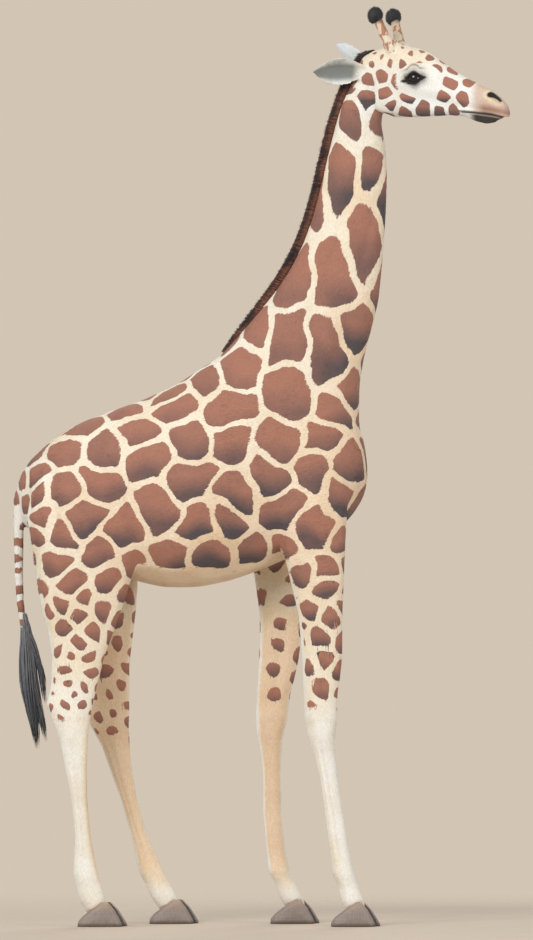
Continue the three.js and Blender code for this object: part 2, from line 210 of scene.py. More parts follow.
# Lines on the side of the head, in forward and up from the middle between the eyes.
NOSTRIL = ((0.384, -0.085), (0.398, -0.089), (0.418, -0.100), (0.434, -0.114))
MOUTH = ((0.215, -0.166), (0.30, -0.172), (0.39, -0.184), (0.44, -0.196), (0.48, -0.206))


def mouth_height(forward):
    return np.interp(forward, *zip(*MOUTH))


def eye_frame(head):
    """Along, up and distance past the lids' edge, in the head's frame. Negative is on the open eye."""
    along = head[:, 0] * math.cos(LID_TILT) + head[:, 2] * math.sin(LID_TILT)
    up = head[:, 2] * math.cos(LID_TILT) - head[:, 0] * math.sin(LID_TILT)
    half = np.where(up > 0, LID_TOP, LID_BOTTOM) * (1 - np.minimum(np.abs(along) / LID_HALF, 1) ** 2)
    beyond = np.maximum(np.abs(along) - LID_HALF, 0)
    return along, up, np.where(beyond > 0, np.hypot(beyond, up), np.abs(up) - half)


def slit(head, line):
    """Distance from a bent line on the side of the head, and the share of the way along it."""
    best, along = np.full(len(head), 9.0), np.zeros(len(head))
    for row, (start, end) in enumerate(zip(line[:-1], line[1:])):
        run = np.array(end) - start
        away = head[:, [0, 2]] - start
        share = np.clip(away @ run / (run @ run), 0, 1)
        length = np.linalg.norm(away - share[:, None] * run, axis=1)
        nearer = length < best
        best = np.where(nearer, length, best)
        along = np.where(nearer, (row + share) / (len(line) - 1), along)
    return best, along


def shape_eyes(head):
    out = np.sign(head[:, 1])
    side = np.abs(head[:, 1])
    along, up, past = eye_frame(head)
    reach = np.hypot(head[:, 0], head[:, 2])
    near = (side > 0.035) & (reach < 0.085)
    ball = HALF_GAP + np.sqrt(np.maximum(EYE_RADIUS**2 - reach**2, 0))
    rim = ball + 0.0035 + 0.0015 * hump(past, 0.004, 0.004)
    lid = rim + 0.004 * np.log1p(np.exp((side - rim) / 0.004)) - 0.05 * np.maximum(reach - 0.034, 0)
    lid = blend(soft(0.036, 0.06, reach), lid, side)
    crease = hump(past, 0.0115, 0.0022) * (up > 0) * soft(0.05, 0.02, np.abs(along))
    crease += 0.7 * hump(past, 0.024, 0.0026) * (up > 0) * soft(0.06, 0.03, np.abs(along + 0.004))
    crease += 0.6 * hump(past, 0.0125, 0.0022) * (up < 0) * soft(0.045, 0.015, np.abs(along))
    crease += 0.45 * hump(past, 0.021, 0.0024) * (up < 0) * soft(0.05, 0.02, np.abs(along - 0.006))
    lid = lid - 0.0032 * crease
    hidden = ball - 0.007
    head[near, 1] = (out * np.where(past < 0, hidden, lid))[near]
    return head


def shape_head(points, normals):
    """Brow, lids, nostrils, mouth and the hollows between, on the plain form of the head."""
    head = in_head(points)
    turn = normals @ HEAD_AXES.T
    flat = np.abs(turn[:, 1])
    side = np.abs(head[:, 1])
    forward, up = head[:, 0], head[:, 2]
    push = np.zeros(len(head))
    on_side = soft(0.02, 0.04, side)
    # the ridge over the eye, the hollow above it and the long cheekbone that runs forward
    push += 0.007 * hump(forward, 0.0, 0.055) * hump(up, 0.052, 0.02) * on_side
    push -= 0.004 * hump(forward, -0.02, 0.07) * hump(up, 0.088, 0.016) * on_side
    cheekbone = soft(-0.2, -0.02, forward) * soft(0.26, 0.08, forward) * on_side
    push += 0.0045 * hump(up + 0.048 + 0.2 * forward, 0, 0.018) * cheekbone
    push -= 0.004 * hump(up + 0.095 + 0.22 * forward, 0, 0.026) * cheekbone
    push += 0.005 * hump(forward, -0.15, 0.06) * hump(up, -0.1, 0.05) * on_side
    push -= 0.004 * hump(forward, -0.235, 0.02) * soft(0.02, -0.02, up) * on_side
    # whisker pad, lips and chin
    push += 0.004 * hump(forward, 0.40, 0.045) * hump(up, -0.145, 0.022)
    line = mouth_height(forward)
    below = up - line
    mouth = soft(0.205, 0.225, forward)
    push -= 0.009 * hump(below, 0, 0.0035) * mouth
    push += 0.0035 * (hump(below, 0.011, 0.007) + hump(below, -0.010, 0.006)) * mouth
    push -= 0.002 * hump(below, -0.028, 0.006) * soft(0.27, 0.31, forward)
    groove = soft(0.40, 0.44, forward) * soft(-0.005, 0.01, below) * soft(0.09, 0.05, below)
    push -= 0.0035 * hump(side, 0.0, 0.0035) * groove
    # nostrils: a slit in a soft raised rim
    away, share = slit(head, NOSTRIL)
    width = blend(share, 0.0125, 0.0070)
    inside = soft(0.008, 0.026, side) * soft(0.05, 0.5, flat)
    push -= 0.017 * np.exp(-((away / width) ** 2)) * inside
    push += blend(share, 0.0040, 0.0020) * hump(away, 0.020, 0.010) * inside
    head += turn * push[:, None]
    return collared(from_head(shape_eyes(head)), normals)


def horn_line(side):
    """The middle of a horn, the way it points and half its length."""
    low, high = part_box(f"ossicone_{side}")
    centre = np.array((low + high) / 2)
    axis = unit(np.array(middle(f"ossicone_tuft_{side}")) - centre)
    return centre, axis, 0.5 * (high.z - low.z) / axis[2]


def from_axis(points, centre, axis):
    """How far along a line each point is, and how far from it."""
    along = (points - centre) @ axis
    return along, np.linalg.norm(points - centre - along[:, None] * axis, axis=1)


def collared(points, normals):
    """The skin swells round the foot of each horn and climbs a little up it."""
    for side in SIDES:
        centre, axis, half = horn_line(side)
        centre = centre - horn_lean(side)
        rise, away = from_axis(points, centre, axis)
        close = soft(0.11, 0.05, np.abs(rise + half))
        climb = 0.020 * np.exp(-np.maximum(away - 0.026, 0) / 0.013) * close
        swell = 0.009 * soft(0.062, 0.028, away) * close
        points = points + axis * climb[:, None] + normals * swell[:, None]
    return points


def horn_lean(side):
    """How far the foot of a horn is drawn towards the middle of the skull."""
    return HEAD_AXES[1] * HORN_LEAN * OUTWARD[side]


def head_share(points):
    forward = in_head(points)[:, 0]
    nape = soft(-0.36, -0.27, forward) * soft(3.98, 4.1, points[:, 2])
    return np.maximum(nape, soft(-0.19, -0.13, forward) * (points[:, 2] > 3.9))


EAR_ROOT = (-0.252, 0.062, 0.038)
# The way each ear runs and the way its cup opens, in the head's frame.
EAR_WAYS = {
    "right": ((-0.83, -0.55, -0.02), (0.36, -0.88, -0.30)),
    "left": ((-0.85, 0.12, 0.51), (0.50, 0.45, 0.20)),
}


def ear_frame(side):
    """The root of an ear and its axes: along it, across it and out of its cup."""
    run, opens = (np.array(way) for way in EAR_WAYS[side])
    run = unit(run)
    across = unit(np.cross(opens, run))
    root = np.array(EAR_ROOT) * (1, OUTWARD[side], 1)
    return root, np.array([run, across, np.cross(run, across)])


def ear_share(points):
    """1 on the ears, falling to 0 where they join the head."""
    found = np.zeros(len(points))
    for ear in EARS:
        low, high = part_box(ear)
        tip = Vector((low.x, low.y if ear == "ear_right" else high.y, (low.z + high.z) / 2))
        inner = Vector((high.x, high.y if ear == "ear_right" else low.y, (low.z + high.z) / 2))
        run = np.array(tip - inner)
        share = (points - np.array(inner)) @ run / (run @ run)
        low, high = np.array(low) - 0.006, np.array(high) + 0.006
        inside = np.all((points > low) & (points < high), axis=1)
        found = np.maximum(found, inside * soft(0.12, 0.3, share))
    return found


BETWEEN_LEGS = -0.2  # forward of this is fore, behind it hind
TAIL_FRONT = -1.13
SHANK_TOP = 1.5
SLICES = 29  # of a leg, for its front and back edge at each height


def is_fore(points):
    return points[:, 0] > BETWEEN_LEGS


def is_hind(points):
    return (points[:, 0] <= BETWEEN_LEGS) & (points[:, 0] > TAIL_FRONT)


def leg_share(points):
    return soft(1.9, 1.45, points[:, 2]) * (points[:, 0] > -1.12)


def split_near(mesh, wanted):
    """Faces whose points are all wanted are divided once more."""
    form = bmesh.new()
    form.from_mesh(mesh)
    form.verts.ensure_lookup_table()
    edges = [edge for edge in form.edges if wanted[edge.verts[0].index] and wanted[edge.verts[1].index]]
    bmesh.ops.subdivide_edges(form, edges=edges, cuts=1, use_grid_fill=True)
    bmesh.ops.triangulate(form, faces=[face for face in form.faces if len(face.verts) > 4])
    form.to_mesh(mesh)
    form.free()


def feature_share(points):
    """Where the head needs its finest mesh."""
    head = in_head(points)
    side = np.abs(head[:, 1])
    eyes = (np.hypot(head[:, 0], head[:, 2]) < 0.066) & (side > 0.05)
    muzzle = head[:, 0] > 0.335
    line = mouth_height(head[:, 0])
    lips = (head[:, 0] > 0.2) & (np.abs(head[:, 2] - line) < 0.022)
    feet = np.zeros(len(points), bool)
    for name in SIDES:
        centre, axis, half = horn_line(name)
        rise, away = from_axis(points, centre, axis)
        feet |= (away < 0.055) & (np.abs(rise + half) < 0.06)
    return eyes | muzzle | lips | feet


# Hollows between the muscles, seen from the side: forward, up, half length, half width, turn in
# degrees, depth.
HOLLOWS = (
    (-0.06, 2.36, 0.34, 0.050, 98, 0.011),
    (0.30, 2.70, 0.34, 0.050, 62, 0.010),
    (0.10, 2.66, 0.26, 0.035, 80, 0.006),
    (-0.55, 2.30, 0.22, 0.095, 80, 0.013),
    (-0.72, 2.06, 0.22, 0.040, 72, 0.009),
    (-1.03, 2.05, 0.28, 0.030, 96, 0.008),
    (-0.92, 1.52, 0.20, 0.030, 88, 0.006),
    (0.24, 1.85, 0.24, 0.030, 84, 0.007),
    (0.34, 3.30, 0.60, 0.030, 72, 0.007),
    (0.50, 3.30, 0.62, 0.022, 76, 0.005),
    (-0.35, 2.02, 0.34, 0.060, 8, 0.005),
)


def shape_body(points, normals):
    """Muscles on the trunk and neck, and the bones and tendons of the legs."""
    facing = soft(0.35, 0.8, np.abs(normals[:, 1]))
    push = np.zeros(len(points))
    for forward, up, long, wide, turn, depth in HOLLOWS:
        way = math.radians(turn)
        away = points[:, [0, 2]] - (forward, up)
        along = away @ (math.cos(way), math.sin(way))
        beside = away @ (-math.sin(way), math.cos(way))
        push -= depth * np.exp(-((along / long) ** 2) - (beside / wide) ** 2) * facing
    height = points[:, 2]
    front = soft(0.2, 0.8, normals[:, 0])
    rear = soft(0.2, 0.8, -normals[:, 0])
    for side in SIDES:
        for end, joint in (("fore", 1.03), ("hind", 1.08)):
            mine = (np.sign(points[:, 1]) == OUTWARD[side]) & (height < SHANK_TOP)
            mine &= is_fore(points) if end == "fore" else is_hind(points)
            levels = np.linspace(0.05, SHANK_TOP, SLICES + 1)
            own = points[mine]
            row = np.clip(np.searchsorted(levels, own[:, 2]) - 1, 0, SLICES - 1)
            ends = np.array([(own[row == k, 0].min(), own[row == k, 0].max()) for k in range(SLICES)])
            middle_level = (levels[:-1] + levels[1:]) / 2
            back, ahead = (np.interp(own[:, 2], middle_level, ends[:, i]) for i in range(2))
            share = 2 * (own[:, 0] - back) / (ahead - back) - 1
            up, flat = own[:, 2], facing[mine]
            shaft = soft(0.30, 0.38, up) * soft(0.98, 0.86, up)
            mould = -0.0045 * shaft * hump(share, -0.28, 0.20) * flat
            if end == "fore":
                mould += 0.0045 * hump(up, joint, 0.045) * front[mine]
                mould -= 0.0040 * hump(up, joint + 0.13, 0.05) * front[mine]
                mould -= 0.0035 * hump(up, joint - 0.10, 0.04) * front[mine]
                mould += 0.0045 * hump(up, joint + 0.01, 0.04) * hump(share, -0.55, 0.3) * flat
                mould -= 0.0045 * soft(1.10, 1.20, up) * hump(share, 0.05, 0.22) * flat
            else:
                mould += 0.0045 * hump(up, joint + 0.02, 0.05) * rear[mine]
                mould -= 0.0110 * hump(up, joint + 0.19, 0.12) * hump(share, -0.42, 0.22) * flat
                mould += 0.0035 * hump(up, joint - 0.03, 0.05) * hump(share, 0.35, 0.35) * flat
            mould += 0.0040 * hump(up, 0.262, 0.035) * (rear[mine] + 0.6 * flat)
            mould -= 0.0040 * hump(up, 0.195, 0.028) * (rear[mine] + 0.5 * flat)
            push[mine] += mould
    return points + normals * push[:, None]


BODY_TRIANGLES = 73000
EAR_GROWTH = 0.0034  # the thin ears are made thicker and then brought back


def make_skin():
    """All the flesh as one closed surface with no seams, then its folds."""
    grown = [node_copy(node, EAR_GROWTH if node in EARS else 0.0012) for node in FLESH]
    for side in SIDES:
        plug = bmesh.new()
        place = Matrix.Translation(EYES[side])
        bmesh.ops.create_icosphere(plug, subdivisions=3, radius=EYE_RADIUS + 0.002, matrix=place)
        grown.append(plug)
    skin = link("skin", joined(grown, "skin"), None, False)
    modify(skin, "REMESH", mode="VOXEL", voxel_size=0.005)
    points = points_of(skin.data)
    ears = ear_share(points)
    on_head = np.maximum(head_share(points), ears)
    tail = soft(-1.13, -1.15, points[:, 0]) * soft(2.2, 2.1, points[:, 2])
    even = (1 - 0.5 * leg_share(points)) * (1 - 0.8 * on_head) * (1 - 0.7 * ears) * (1 - 0.6 * tail)
    weigh(skin, "even", even)
    modify(skin, "SMOOTH", factor=0.6, iterations=110, vertex_group="even")
    weigh(skin, "body", 1 - np.round(on_head))
    total = 2 * len(skin.data.polygons)
    kept = 2 * len(skin.data.polygons) * float(np.mean(on_head > 0.5))
    modify(skin, "DECIMATE", ratio=(BODY_TRIANGLES + kept) / total, vertex_group="body")
    points = points_of(skin.data)
    plain = (1 - head_share(points)) * (1 - leg_share(points)) * (1 - ear_share(points))
    plain *= 1 - soft(-1.12, -1.15, points[:, 0])
    weigh(skin, "plain", plain * blend(soft(2.5, 3.0, points[:, 2]), 1.0, 0.35))
    modify(skin, "SMOOTH", factor=0.5, iterations=22, vertex_group="plain")
    split_near(skin.data, feature_share(points_of(skin.data)))
    points = points_of(skin.data)
    normals = normals_of(skin.data)
    on_head = head_share(points) * (1 - ear_share(points))
    ears = ear_share(points)
    coat = blend(ears, 0.0030 * (1 - 0.7 * on_head), EAR_GROWTH)
    shaped = shape_head(points, normals)
    plain = shape_body(points, normals)
    set_points(skin.data, blend(on_head[:, None], plain, shaped) - normals * coat[:, None])
    form = bmesh.new()
    form.from_mesh(skin.data)
    bmesh.ops.triangulate(form, faces=form.faces)
    form.to_mesh(skin.data)
    form.free()
    skin.data.shade_smooth()
    skin.vertex_groups.clear()
    return skin


# ---------------------------------------------------------------- markings

# Places seen from the side: along, up, spacing of the patches, width of the lines between them,
# darkness of the patches, which is painted shade, deepest low on the body and on the chest, and warmth
# of the ground from white to tan, which is partly the coat's own colour and partly painted highlight on
# the back and painted shade low on the flank and chest.
COAT_PLACES = (
    (-1.16, 2.30, 0.125, 0.027, 0.60, 0.15),
    (-1.00, 2.62, 0.130, 0.028, 0.20, 0.12),
    (-0.60, 2.80, 0.118, 0.028, 0.10, 0.15),
    (-0.25, 2.95, 0.125, 0.028, 0.10, 0.15),
    (-0.95, 2.42, 0.185, 0.028, 0.30, 0.40),
    (-0.50, 2.45, 0.215, 0.027, 0.50, 0.40),
    (-0.15, 2.55, 0.210, 0.026, 0.40, 0.40),
    (-0.45, 2.15, 0.200, 0.028, 0.80, 0.60),
    (-0.10, 2.15, 0.205, 0.028, 0.95, 0.65),
    (-0.20, 1.88, 0.165, 0.033, 1.15, 0.85),
    (0.10, 2.78, 0.230, 0.026, 0.30, 0.35),
    (0.22, 2.35, 0.215, 0.027, 0.65, 0.55),
    (0.47, 2.40, 0.190, 0.029, 1.05, 0.80),
    (0.42, 2.08, 0.170, 0.029, 1.00, 0.80),
    (0.15, 3.10, 0.200, 0.027, 0.25, 0.25),
    (0.45, 2.95, 0.185, 0.029, 1.05, 0.75),
    (0.35, 3.45, 0.158, 0.029, 0.50, 0.30),
    (0.52, 3.60, 0.142, 0.029, 1.00, 0.60),
    (0.42, 3.95, 0.118, 0.028, 0.60, 0.20),
    (-0.92, 2.10, 0.155, 0.027, 0.60, 0.60),
    (-0.75, 1.95, 0.165, 0.029, 0.95, 0.75),
    (-1.02, 1.85, 0.120, 0.029, 0.75, 0.35),
    (-0.92, 1.68, 0.112, 0.027, 0.75, 0.55),
    (-0.92, 1.40, 0.088, 0.028, 0.60, 0.40),
    (-0.95, 1.15, 0.064, 0.031, 0.50, 0.20),
    (-0.60, 1.20, 0.078, 0.032, 0.40, 0.60),
    (0.33, 1.78, 0.115, 0.025, 0.90, 0.60),
    (0.32, 1.50, 0.105, 0.025, 0.85, 0.50),
    (0.32, 1.25, 0.096, 0.025, 0.75, 0.35),
    (0.35, 1.05, 0.076, 0.028, 0.60, 0.20),
)
# Height on the neck, and the height as marked.
STRETCH = ((0, 0), (2.7, 2.7), (3.2, 3.10), (4.08, 3.51), (4.4, 3.81), (5, 4.41))

WHITE = colour(242, 241, 236)
CREAM = colour(243, 232, 211)
PEACH = colour(239, 214, 184)
TAN = colour(225, 200, 170)
BROWN = colour(168, 116, 96)
DARK = colour(86, 75, 77)
BLACK = colour(36, 32, 31)
GREY = colour(133, 131, 127)
# The left ear's back is a greyer copy of the right's: painted shade.
EAR_BACK = {"right": colour(243, 245, 244), "left": colour(222, 228, 230)}
# Painted shade deep in the ear's cup.
EAR_CUP_SHADE = colour(133, 139, 137)
EAR_RIM = colour(232, 235, 233)
ROUNDING = 20.0  # of the patches' corners: more is sharper
CHUNK = 4000  # points at a time, to spare memory


def as_marked(points):
    """Points moved so that the neck's long patches become as wide as tall, and bent by slow waves."""
    placed = points.copy()
    placed[:, 2] = np.interp(points[:, 2], *zip(*STRETCH))
    x, y, z = points.T
    bend = np.interp(z, (0.9, 1.9, 3.0, 4.0), (0.004, 0.020, 0.016, 0.003))
    placed[:, 0] += bend * (np.sin(17 * z + 6 * x + 9 * y) + 0.45 * np.sin(39 * z - 14 * x + 1))
    placed[:, 2] += bend * (np.sin(15 * x - 7 * z + 2 - 8 * y) + 0.45 * np.sin(36 * x + 12 * z + 4))
    return placed


def coat_at(points, normals):
    """Spacing, line width, darkness as painted shade and warmth here, with the bare places of the belly and
    legs.
    """
    table = np.array(COAT_PLACES)
    flat = points[:, [0, 2]]
    pull = 1 / (((flat[:, None, :] - table[None, :, :2]) ** 2).sum(axis=2) + 0.004) ** 1.5
    pull /= pull.sum(axis=1, keepdims=True)
    spacing, line, shade, warmth = (pull @ table[:, 2:]).T
    head = in_head(points)
    on_head = head_share(points)
    spacing = blend(on_head, spacing, 0.077)
    line = blend(on_head, line, 0.020)
    inner = soft(0.25, 0.8, -np.sign(points[:, 1]) * normals[:, 1]) * soft(2.0, 1.75, points[:, 2])
    sloping = blend(soft(-0.75, 0.1, points[:, 0]), -0.45, -0.78)
    belly = soft(0.0, 0.16, sloping - normals[:, 2]) * soft(2.15, 2.0, points[:, 2])
    hind = points[:, 0] < -0.2
    line += np.where(hind, 0.008, 0.026) * inner + 0.16 * belly
    foot = soft(0, 0.18, np.where(hind, 1.08, 1.14) - points[:, 2] - 0.12 * (hind & (points[:, 1] > 0)))
    line += 0.11 * foot
    line += 0.006 * np.sin(points[:, 0] * 31 + points[:, 2] * 23) * soft(1.9, 1.5, points[:, 2])
    behind = soft(0.55, 0.9, -normals[:, 0]) * soft(1.95, 1.6, points[:, 2])
    line += 0.05 * behind
    tail = soft(-1.14, -1.165, points[:, 0]) * soft(2.22, 2.1, points[:, 2])
    spacing = blend(tail, spacing, 0.07)
    line = blend(tail, line, 0.03)
    warmth = blend(foot, warmth, 0.06)
    shank = soft(0.15, 0.3, points[:, 2]) * soft(1.05, 0.9, points[:, 2])
    warmth += 0.5 * shank * soft(0.2, 0.9, np.where(hind, 1, -1) * normals[:, 0])
    warmth = np.maximum(warmth, 0.86 * inner * soft(0.1, 0.35, points[:, 2]))
    # the warm belly is partly its own colour and partly painted shade
    warmth = np.maximum(warmth, 0.9 * belly)
    warmth = blend(np.maximum(behind, tail), warmth, 0.0)
    # the head: small spots on the forehead, squares on the cheek, none on muzzle, eyelids or ears
    forehead = on_head * soft(0.03, 0.08, head[:, 2]) * soft(0.2, 0.1, head[:, 0])
    spacing = blend(forehead, spacing, 0.054)
    line += 0.014 * forehead * soft(0.06, -0.02, head[:, 0])
    spacing = blend(on_head * soft(0.10, 0.16, head[:, 0]) * soft(-0.11, -0.05, head[:, 2]), spacing, 0.074)
    round_eye = np.hypot((head[:, 0] - 0.020) / 0.101, (head[:, 2] + 0.012) / 0.073)
    bare = on_head * np.maximum(soft(1.25, 0.95, round_eye), soft(0.285, 0.33, head[:, 0]))
    under_lip = soft(0.24, 0.28, head[:, 0]) * soft(-0.14, -0.16, head[:, 2])
    bare = np.maximum(bare, np.maximum(ear_share(points), on_head * under_lip))
    line += 0.16 * bare
    # painted shade on the head: the patches low on the cheek and jaw are darker
    shade = blend(on_head, shade, 0.25 + 1.0 * soft(-0.06, -0.13, head[:, 2]) * soft(0.30, 0.2, head[:, 0]))
    warmth = blend(on_head, warmth, 0.35 * soft(0.02, 0.12, head[:, 2]))
    return spacing, line, shade, warmth


def plant_seeds(points, spacing, placed):
    """The middles of the patches: spread over the skin, each as far from the next as the coat asks there."""
    order = CHANCE.permutation(len(points))
    free = np.ones(len(points), bool)
    tree = KDTree(len(points))
    for index, place in enumerate(placed):
        tree.insert(place, index)
    tree.balance()
    seeds = []
    for index in order:
        if free[index]:
            seeds.append(index)
            reach = spacing[index] * CHANCE.uniform(0.56, 1.08)
            for _, near, _ in tree.find_range(placed[index], reach):
                free[near] = False
    middles = placed[seeds]
    owner = nearest(placed, middles, 1)[:, 0]
    count = np.maximum(np.bincount(owner, minlength=len(middles)), 1)
    for axis in range(3):
        drawn = np.bincount(owner, weights=placed[:, axis], minlength=len(middles)) / count
        middles[:, axis] = blend(0.3, middles[:, axis], drawn)
    return middles


def nearest(points, middles, count):
    """The nearest middles to each point, nearest first."""
    found = np.empty((len(points), count), int)
    for start in range(0, len(points), CHUNK):
        part = points[start : start + CHUNK]
        apart = (part**2).sum(1)[:, None] - 2 * part @ middles.T + (middles**2).sum(1)[None]
        near = np.argpartition(apart, count, axis=1)[:, :count]
        order = np.argsort(np.take_along_axis(apart, near, 1), axis=1)
        found[start : start + CHUNK] = np.take_along_axis(near, order, 1)
    return found


def edge_of(placed, near, spacing):
    """How far a place is inside its patch, from the four nearest middles; the corners are rounded."""
    apart = np.linalg.norm(placed[:, None, :] - near, axis=2)
    gaps = (apart - apart.min(axis=1, keepdims=True)) / spacing[:, None]
    total = np.exp(-ROUNDING * gaps).sum(axis=1) - 1
    return -0.5 * spacing * np.log(np.maximum(total, 1e-6)) / ROUNDING


def ground_colour(points, normals, warmth):
    """The colour between the patches, with the bare skin of the muzzle, lids and ears, and painted shade and
    highlights.
    """
    steps = (0, 0.35, 0.75, 1.0)
    tones = np.array((WHITE, CREAM, PEACH, TAN))
    ground = np.stack([np.interp(warmth, steps, tones[:, i]) for i in range(3)], axis=1)
    # Painted shade: a grey-green tint high on the inner faces of the legs, under the belly.
    inner_leg_shade = soft(0.25, 0.8, -np.sign(points[:, 1]) * normals[:, 1]) * hump(points[:, 2], 1.66, 0.14)
    ground = blend(0.55 * inner_leg_shade[:, None], ground, colour(198, 195, 175))
    head = in_head(points)
    on_head = head_share(points) * (1 - ear_share(points))
    forward, side, up = head[:, 0], np.abs(head[:, 1]), head[:, 2]
    along, _, past = eye_frame(head)
    line = mouth_height(forward)

    def paint(weight, tone):
        nonlocal ground
        ground = blend((weight * on_head)[:, None], ground, tone)

    paint(soft(0.27, 0.325, forward) * soft(-0.2, -0.02, up - line), colour(216, 192, 174))
    paint(soft(0.31, 0.36, forward) * hump(up - line, 0.026, 0.022) * 0.8, colour(163, 118, 102))
    paint(soft(0.40, 0.47, forward) * hump(up - line, 0.006, 0.008) * 0.8, colour(231, 200, 169))
    paint(soft(0.26, 0.31, forward) * soft(-0.003, -0.016, up - line), colour(61, 55, 53))
    paint(soft(0.20, 0.24, forward) * hump(up - line, -0.002, 0.006), BLACK)
    away, share = slit(head, NOSTRIL)
    # Painted highlight: a cream ring on the raised rim round each nostril, strongest behind it.
    pale = hump(away, 0.024, 0.010) * soft(0.01, 0.03, side)
    paint(pale * np.where(forward < 0.40, 0.9, 0.45), colour(237, 221, 184))
    # The black of the nostril is partly dark skin and partly painted shade in the opening.
    paint(soft(1.25, 0.8, away / blend(share, 0.0135, 0.0080)) * soft(0.008, 0.02, side), BLACK)
    near_eye = side > 0.045
    paint(soft(0.046, 0.014, past) * near_eye * 0.85, GREY)
    over = (up > 0) * near_eye * 0.8
    # Painted highlight: a pale band on the upper lid, between the eye and its crease.
    paint(hump(past, 0.027, 0.008) * soft(0.05, 0.02, np.abs(along)) * over, colour(221, 221, 219))
    paint(soft(0.0165, 0.0110, past - 0.10 * np.maximum(np.abs(along) - 0.018, 0)) * near_eye, BLACK)
    for forth, high, wide in ((0.044, 0.004, 2.2), (-0.052, -0.014, 2.8), (-0.020, -0.024, 3.0)):
        paint(soft(0.0105, 0.0055, np.hypot((along - forth) / wide, up - high)) * near_eye, BLACK)
    # Painted shade: a grey line along the brow crease above the eye.
    paint(hump(past, 0.047, 0.006) * soft(0.07, 0.03, np.abs(along)) * over, colour(120, 113, 106))
    ears = ear_share(points)
    turn = normals @ HEAD_AXES.T
    for name, out in OUTWARD.items():
        root, axes = ear_frame(name)
        mine = ears * (np.sign(points[:, 1]) == out)
        place = (head - root) @ axes.T
        facing = turn @ axes[2]
        # the left ear's greyer back is painted shade
        ground = blend(mine[:, None], ground, EAR_BACK[name])
        stations = (0.0, 0.09, 0.15, 0.20, 0.26, 0.285)
        half = np.interp(place[:, 0], stations, (0.03, 0.058, 0.066, 0.060, 0.036, 0.012))
        across = np.abs(place[:, 1] - 0.005) / half
        # Painted shade: the ear darkens deep inside its cup.
        deep = soft(0.15, 0.65, facing) * soft(0.98, 0.40, across)
        ground = blend((mine * soft(0.05, 0.4, facing))[:, None], ground, EAR_RIM)
        ground = blend((mine * deep)[:, None], ground, EAR_CUP_SHADE)
    return ground


def mark(skin):
    """Everything that the materials need to know about each place on the skin."""
    mesh = skin.data
    points = points_of(mesh)
    normals = normals_of(mesh)
    spacing, line, shade, warmth = coat_at(points, normals)
    placed = as_marked(points)
    middles = plant_seeds(points, spacing, placed)
    faces = vectors(mesh.polygons, "center")
    near = nearest(as_marked(faces), middles, 4)
    tones = CHANCE.random(len(middles))
    attribute(mesh, "placed", placed)
    attribute(mesh, "spacing", spacing)
    attribute(mesh, "line", line)
    attribute(mesh, "shade", shade)
    attribute(mesh, "ground", ground_colour(points, normals, warmth))
    attribute(mesh, "upright", np.maximum(leg_share(points), soft(2.6, 2.9, points[:, 2])))
    for rank in range(4):
        attribute(mesh, f"seed_{rank}", middles[near[:, rank]], "FACE")
    attribute(mesh, "tone", tones[near[:, 0]], "FACE")
    return middles, tones


# ---------------------------------------------------------------- finishes

class Finish:
    """A material, written node by node. A value is a number, a colour or the socket of another node."""

    def __init__(self, name):
        self.material = bpy.data.materials.new(name)
        self.material.use_nodes = True
        self.tree = self.material.node_tree
        self.shader = self.tree.nodes["Principled BSDF"]

    def put(self, kind, inputs=(), **settings):
        made = self.tree.nodes.new("ShaderNode" + kind)
        for name, value in settings.items():
            setattr(made, name, value)
        for name, value in dict(inputs).items():
            self.feed(made.inputs[name], value)
        return made

    def feed(self, socket, value):
        if isinstance(value, bpy.types.NodeSocket):
            self.tree.links.new(value, socket)
        elif hasattr(value, "__len__"):
            extra = len(socket.default_value) - len(value)
            socket.default_value = tuple(value) + (1.0,) * extra
        else:
            socket.default_value = value

    def set(self, **values):
        for name, value in values.items():
            self.feed(self.shader.inputs[name.replace("_", " ")], value)

    def math(self, operation, *values):
        made = self.put("Math", dict(enumerate(values)), operation=operation)
        return made.outputs[0]

    def centred(self, value):
        return self.math("SUBTRACT", value, 0.5)

    def length(self, vector):
        return self.put("VectorMath", {0: vector}, operation="LENGTH").outputs["Value"]

    def distance(self, first, second):
        return self.put("VectorMath", {0: first, 1: second}, operation="DISTANCE").outputs["Value"]

    def attribute(self, name, output="Fac"):
        return self.put("Attribute", attribute_name=name).outputs[output]

    def part(self, vector, axis):
        return self.put("SeparateXYZ", {0: vector}).outputs[axis]

    def mix(self, share, first, second, how="MIX"):
        made = self.put("Mix", {0: share, 6: first, 7: second}, data_type="RGBA", blend_type=how)
        return made.outputs[2]

    def shaded(self, tone, light):
        """A colour made lighter or darker by one number."""
        grey = self.put("CombineXYZ", {0: light, 1: light, 2: light}).outputs[0]
        return self.mix(1.0, tone, grey, "MULTIPLY")

    def step(self, value, low, high, start=0.0, end=1.0):
        ends = {"Value": value, "From Min": low, "From Max": high, "To Min": start, "To Max": end}
        return self.put("MapRange", ends, interpolation_type="SMOOTHSTEP").outputs[0]

    def noise(self, place, scale, detail=2.0, size=(1, 1, 1), rough=0.5):
        if size != (1, 1, 1):
            place = self.put("Mapping", {"Vector": place, "Scale": size}).outputs[0]
        settings = {"Vector": place, "Scale": scale, "Detail": detail, "Roughness": rough}
        return self.put("TexNoise", settings).outputs[0]

    def here(self):
        return self.put("TexCoord").outputs["Object"]

    def emboss(self, height, depth, strength=1.0, under=None):
        inputs = {"Height": height, "Distance": depth, "Strength": strength}
        if under:
            inputs["Normal"] = under
        return self.put("Bump", inputs).outputs[0]


def hair_grain(finish, place, upright, scale=1.0):
    """Fine streaks that run along the back, and down the neck and legs."""
    lying = finish.noise(place, scale, 3.0, (55, 420, 300))
    falling = finish.noise(place, scale, 3.0, (420, 420, 55))
    return finish.put("Mix", {0: upright, 2: lying, 3: falling}).outputs[0]


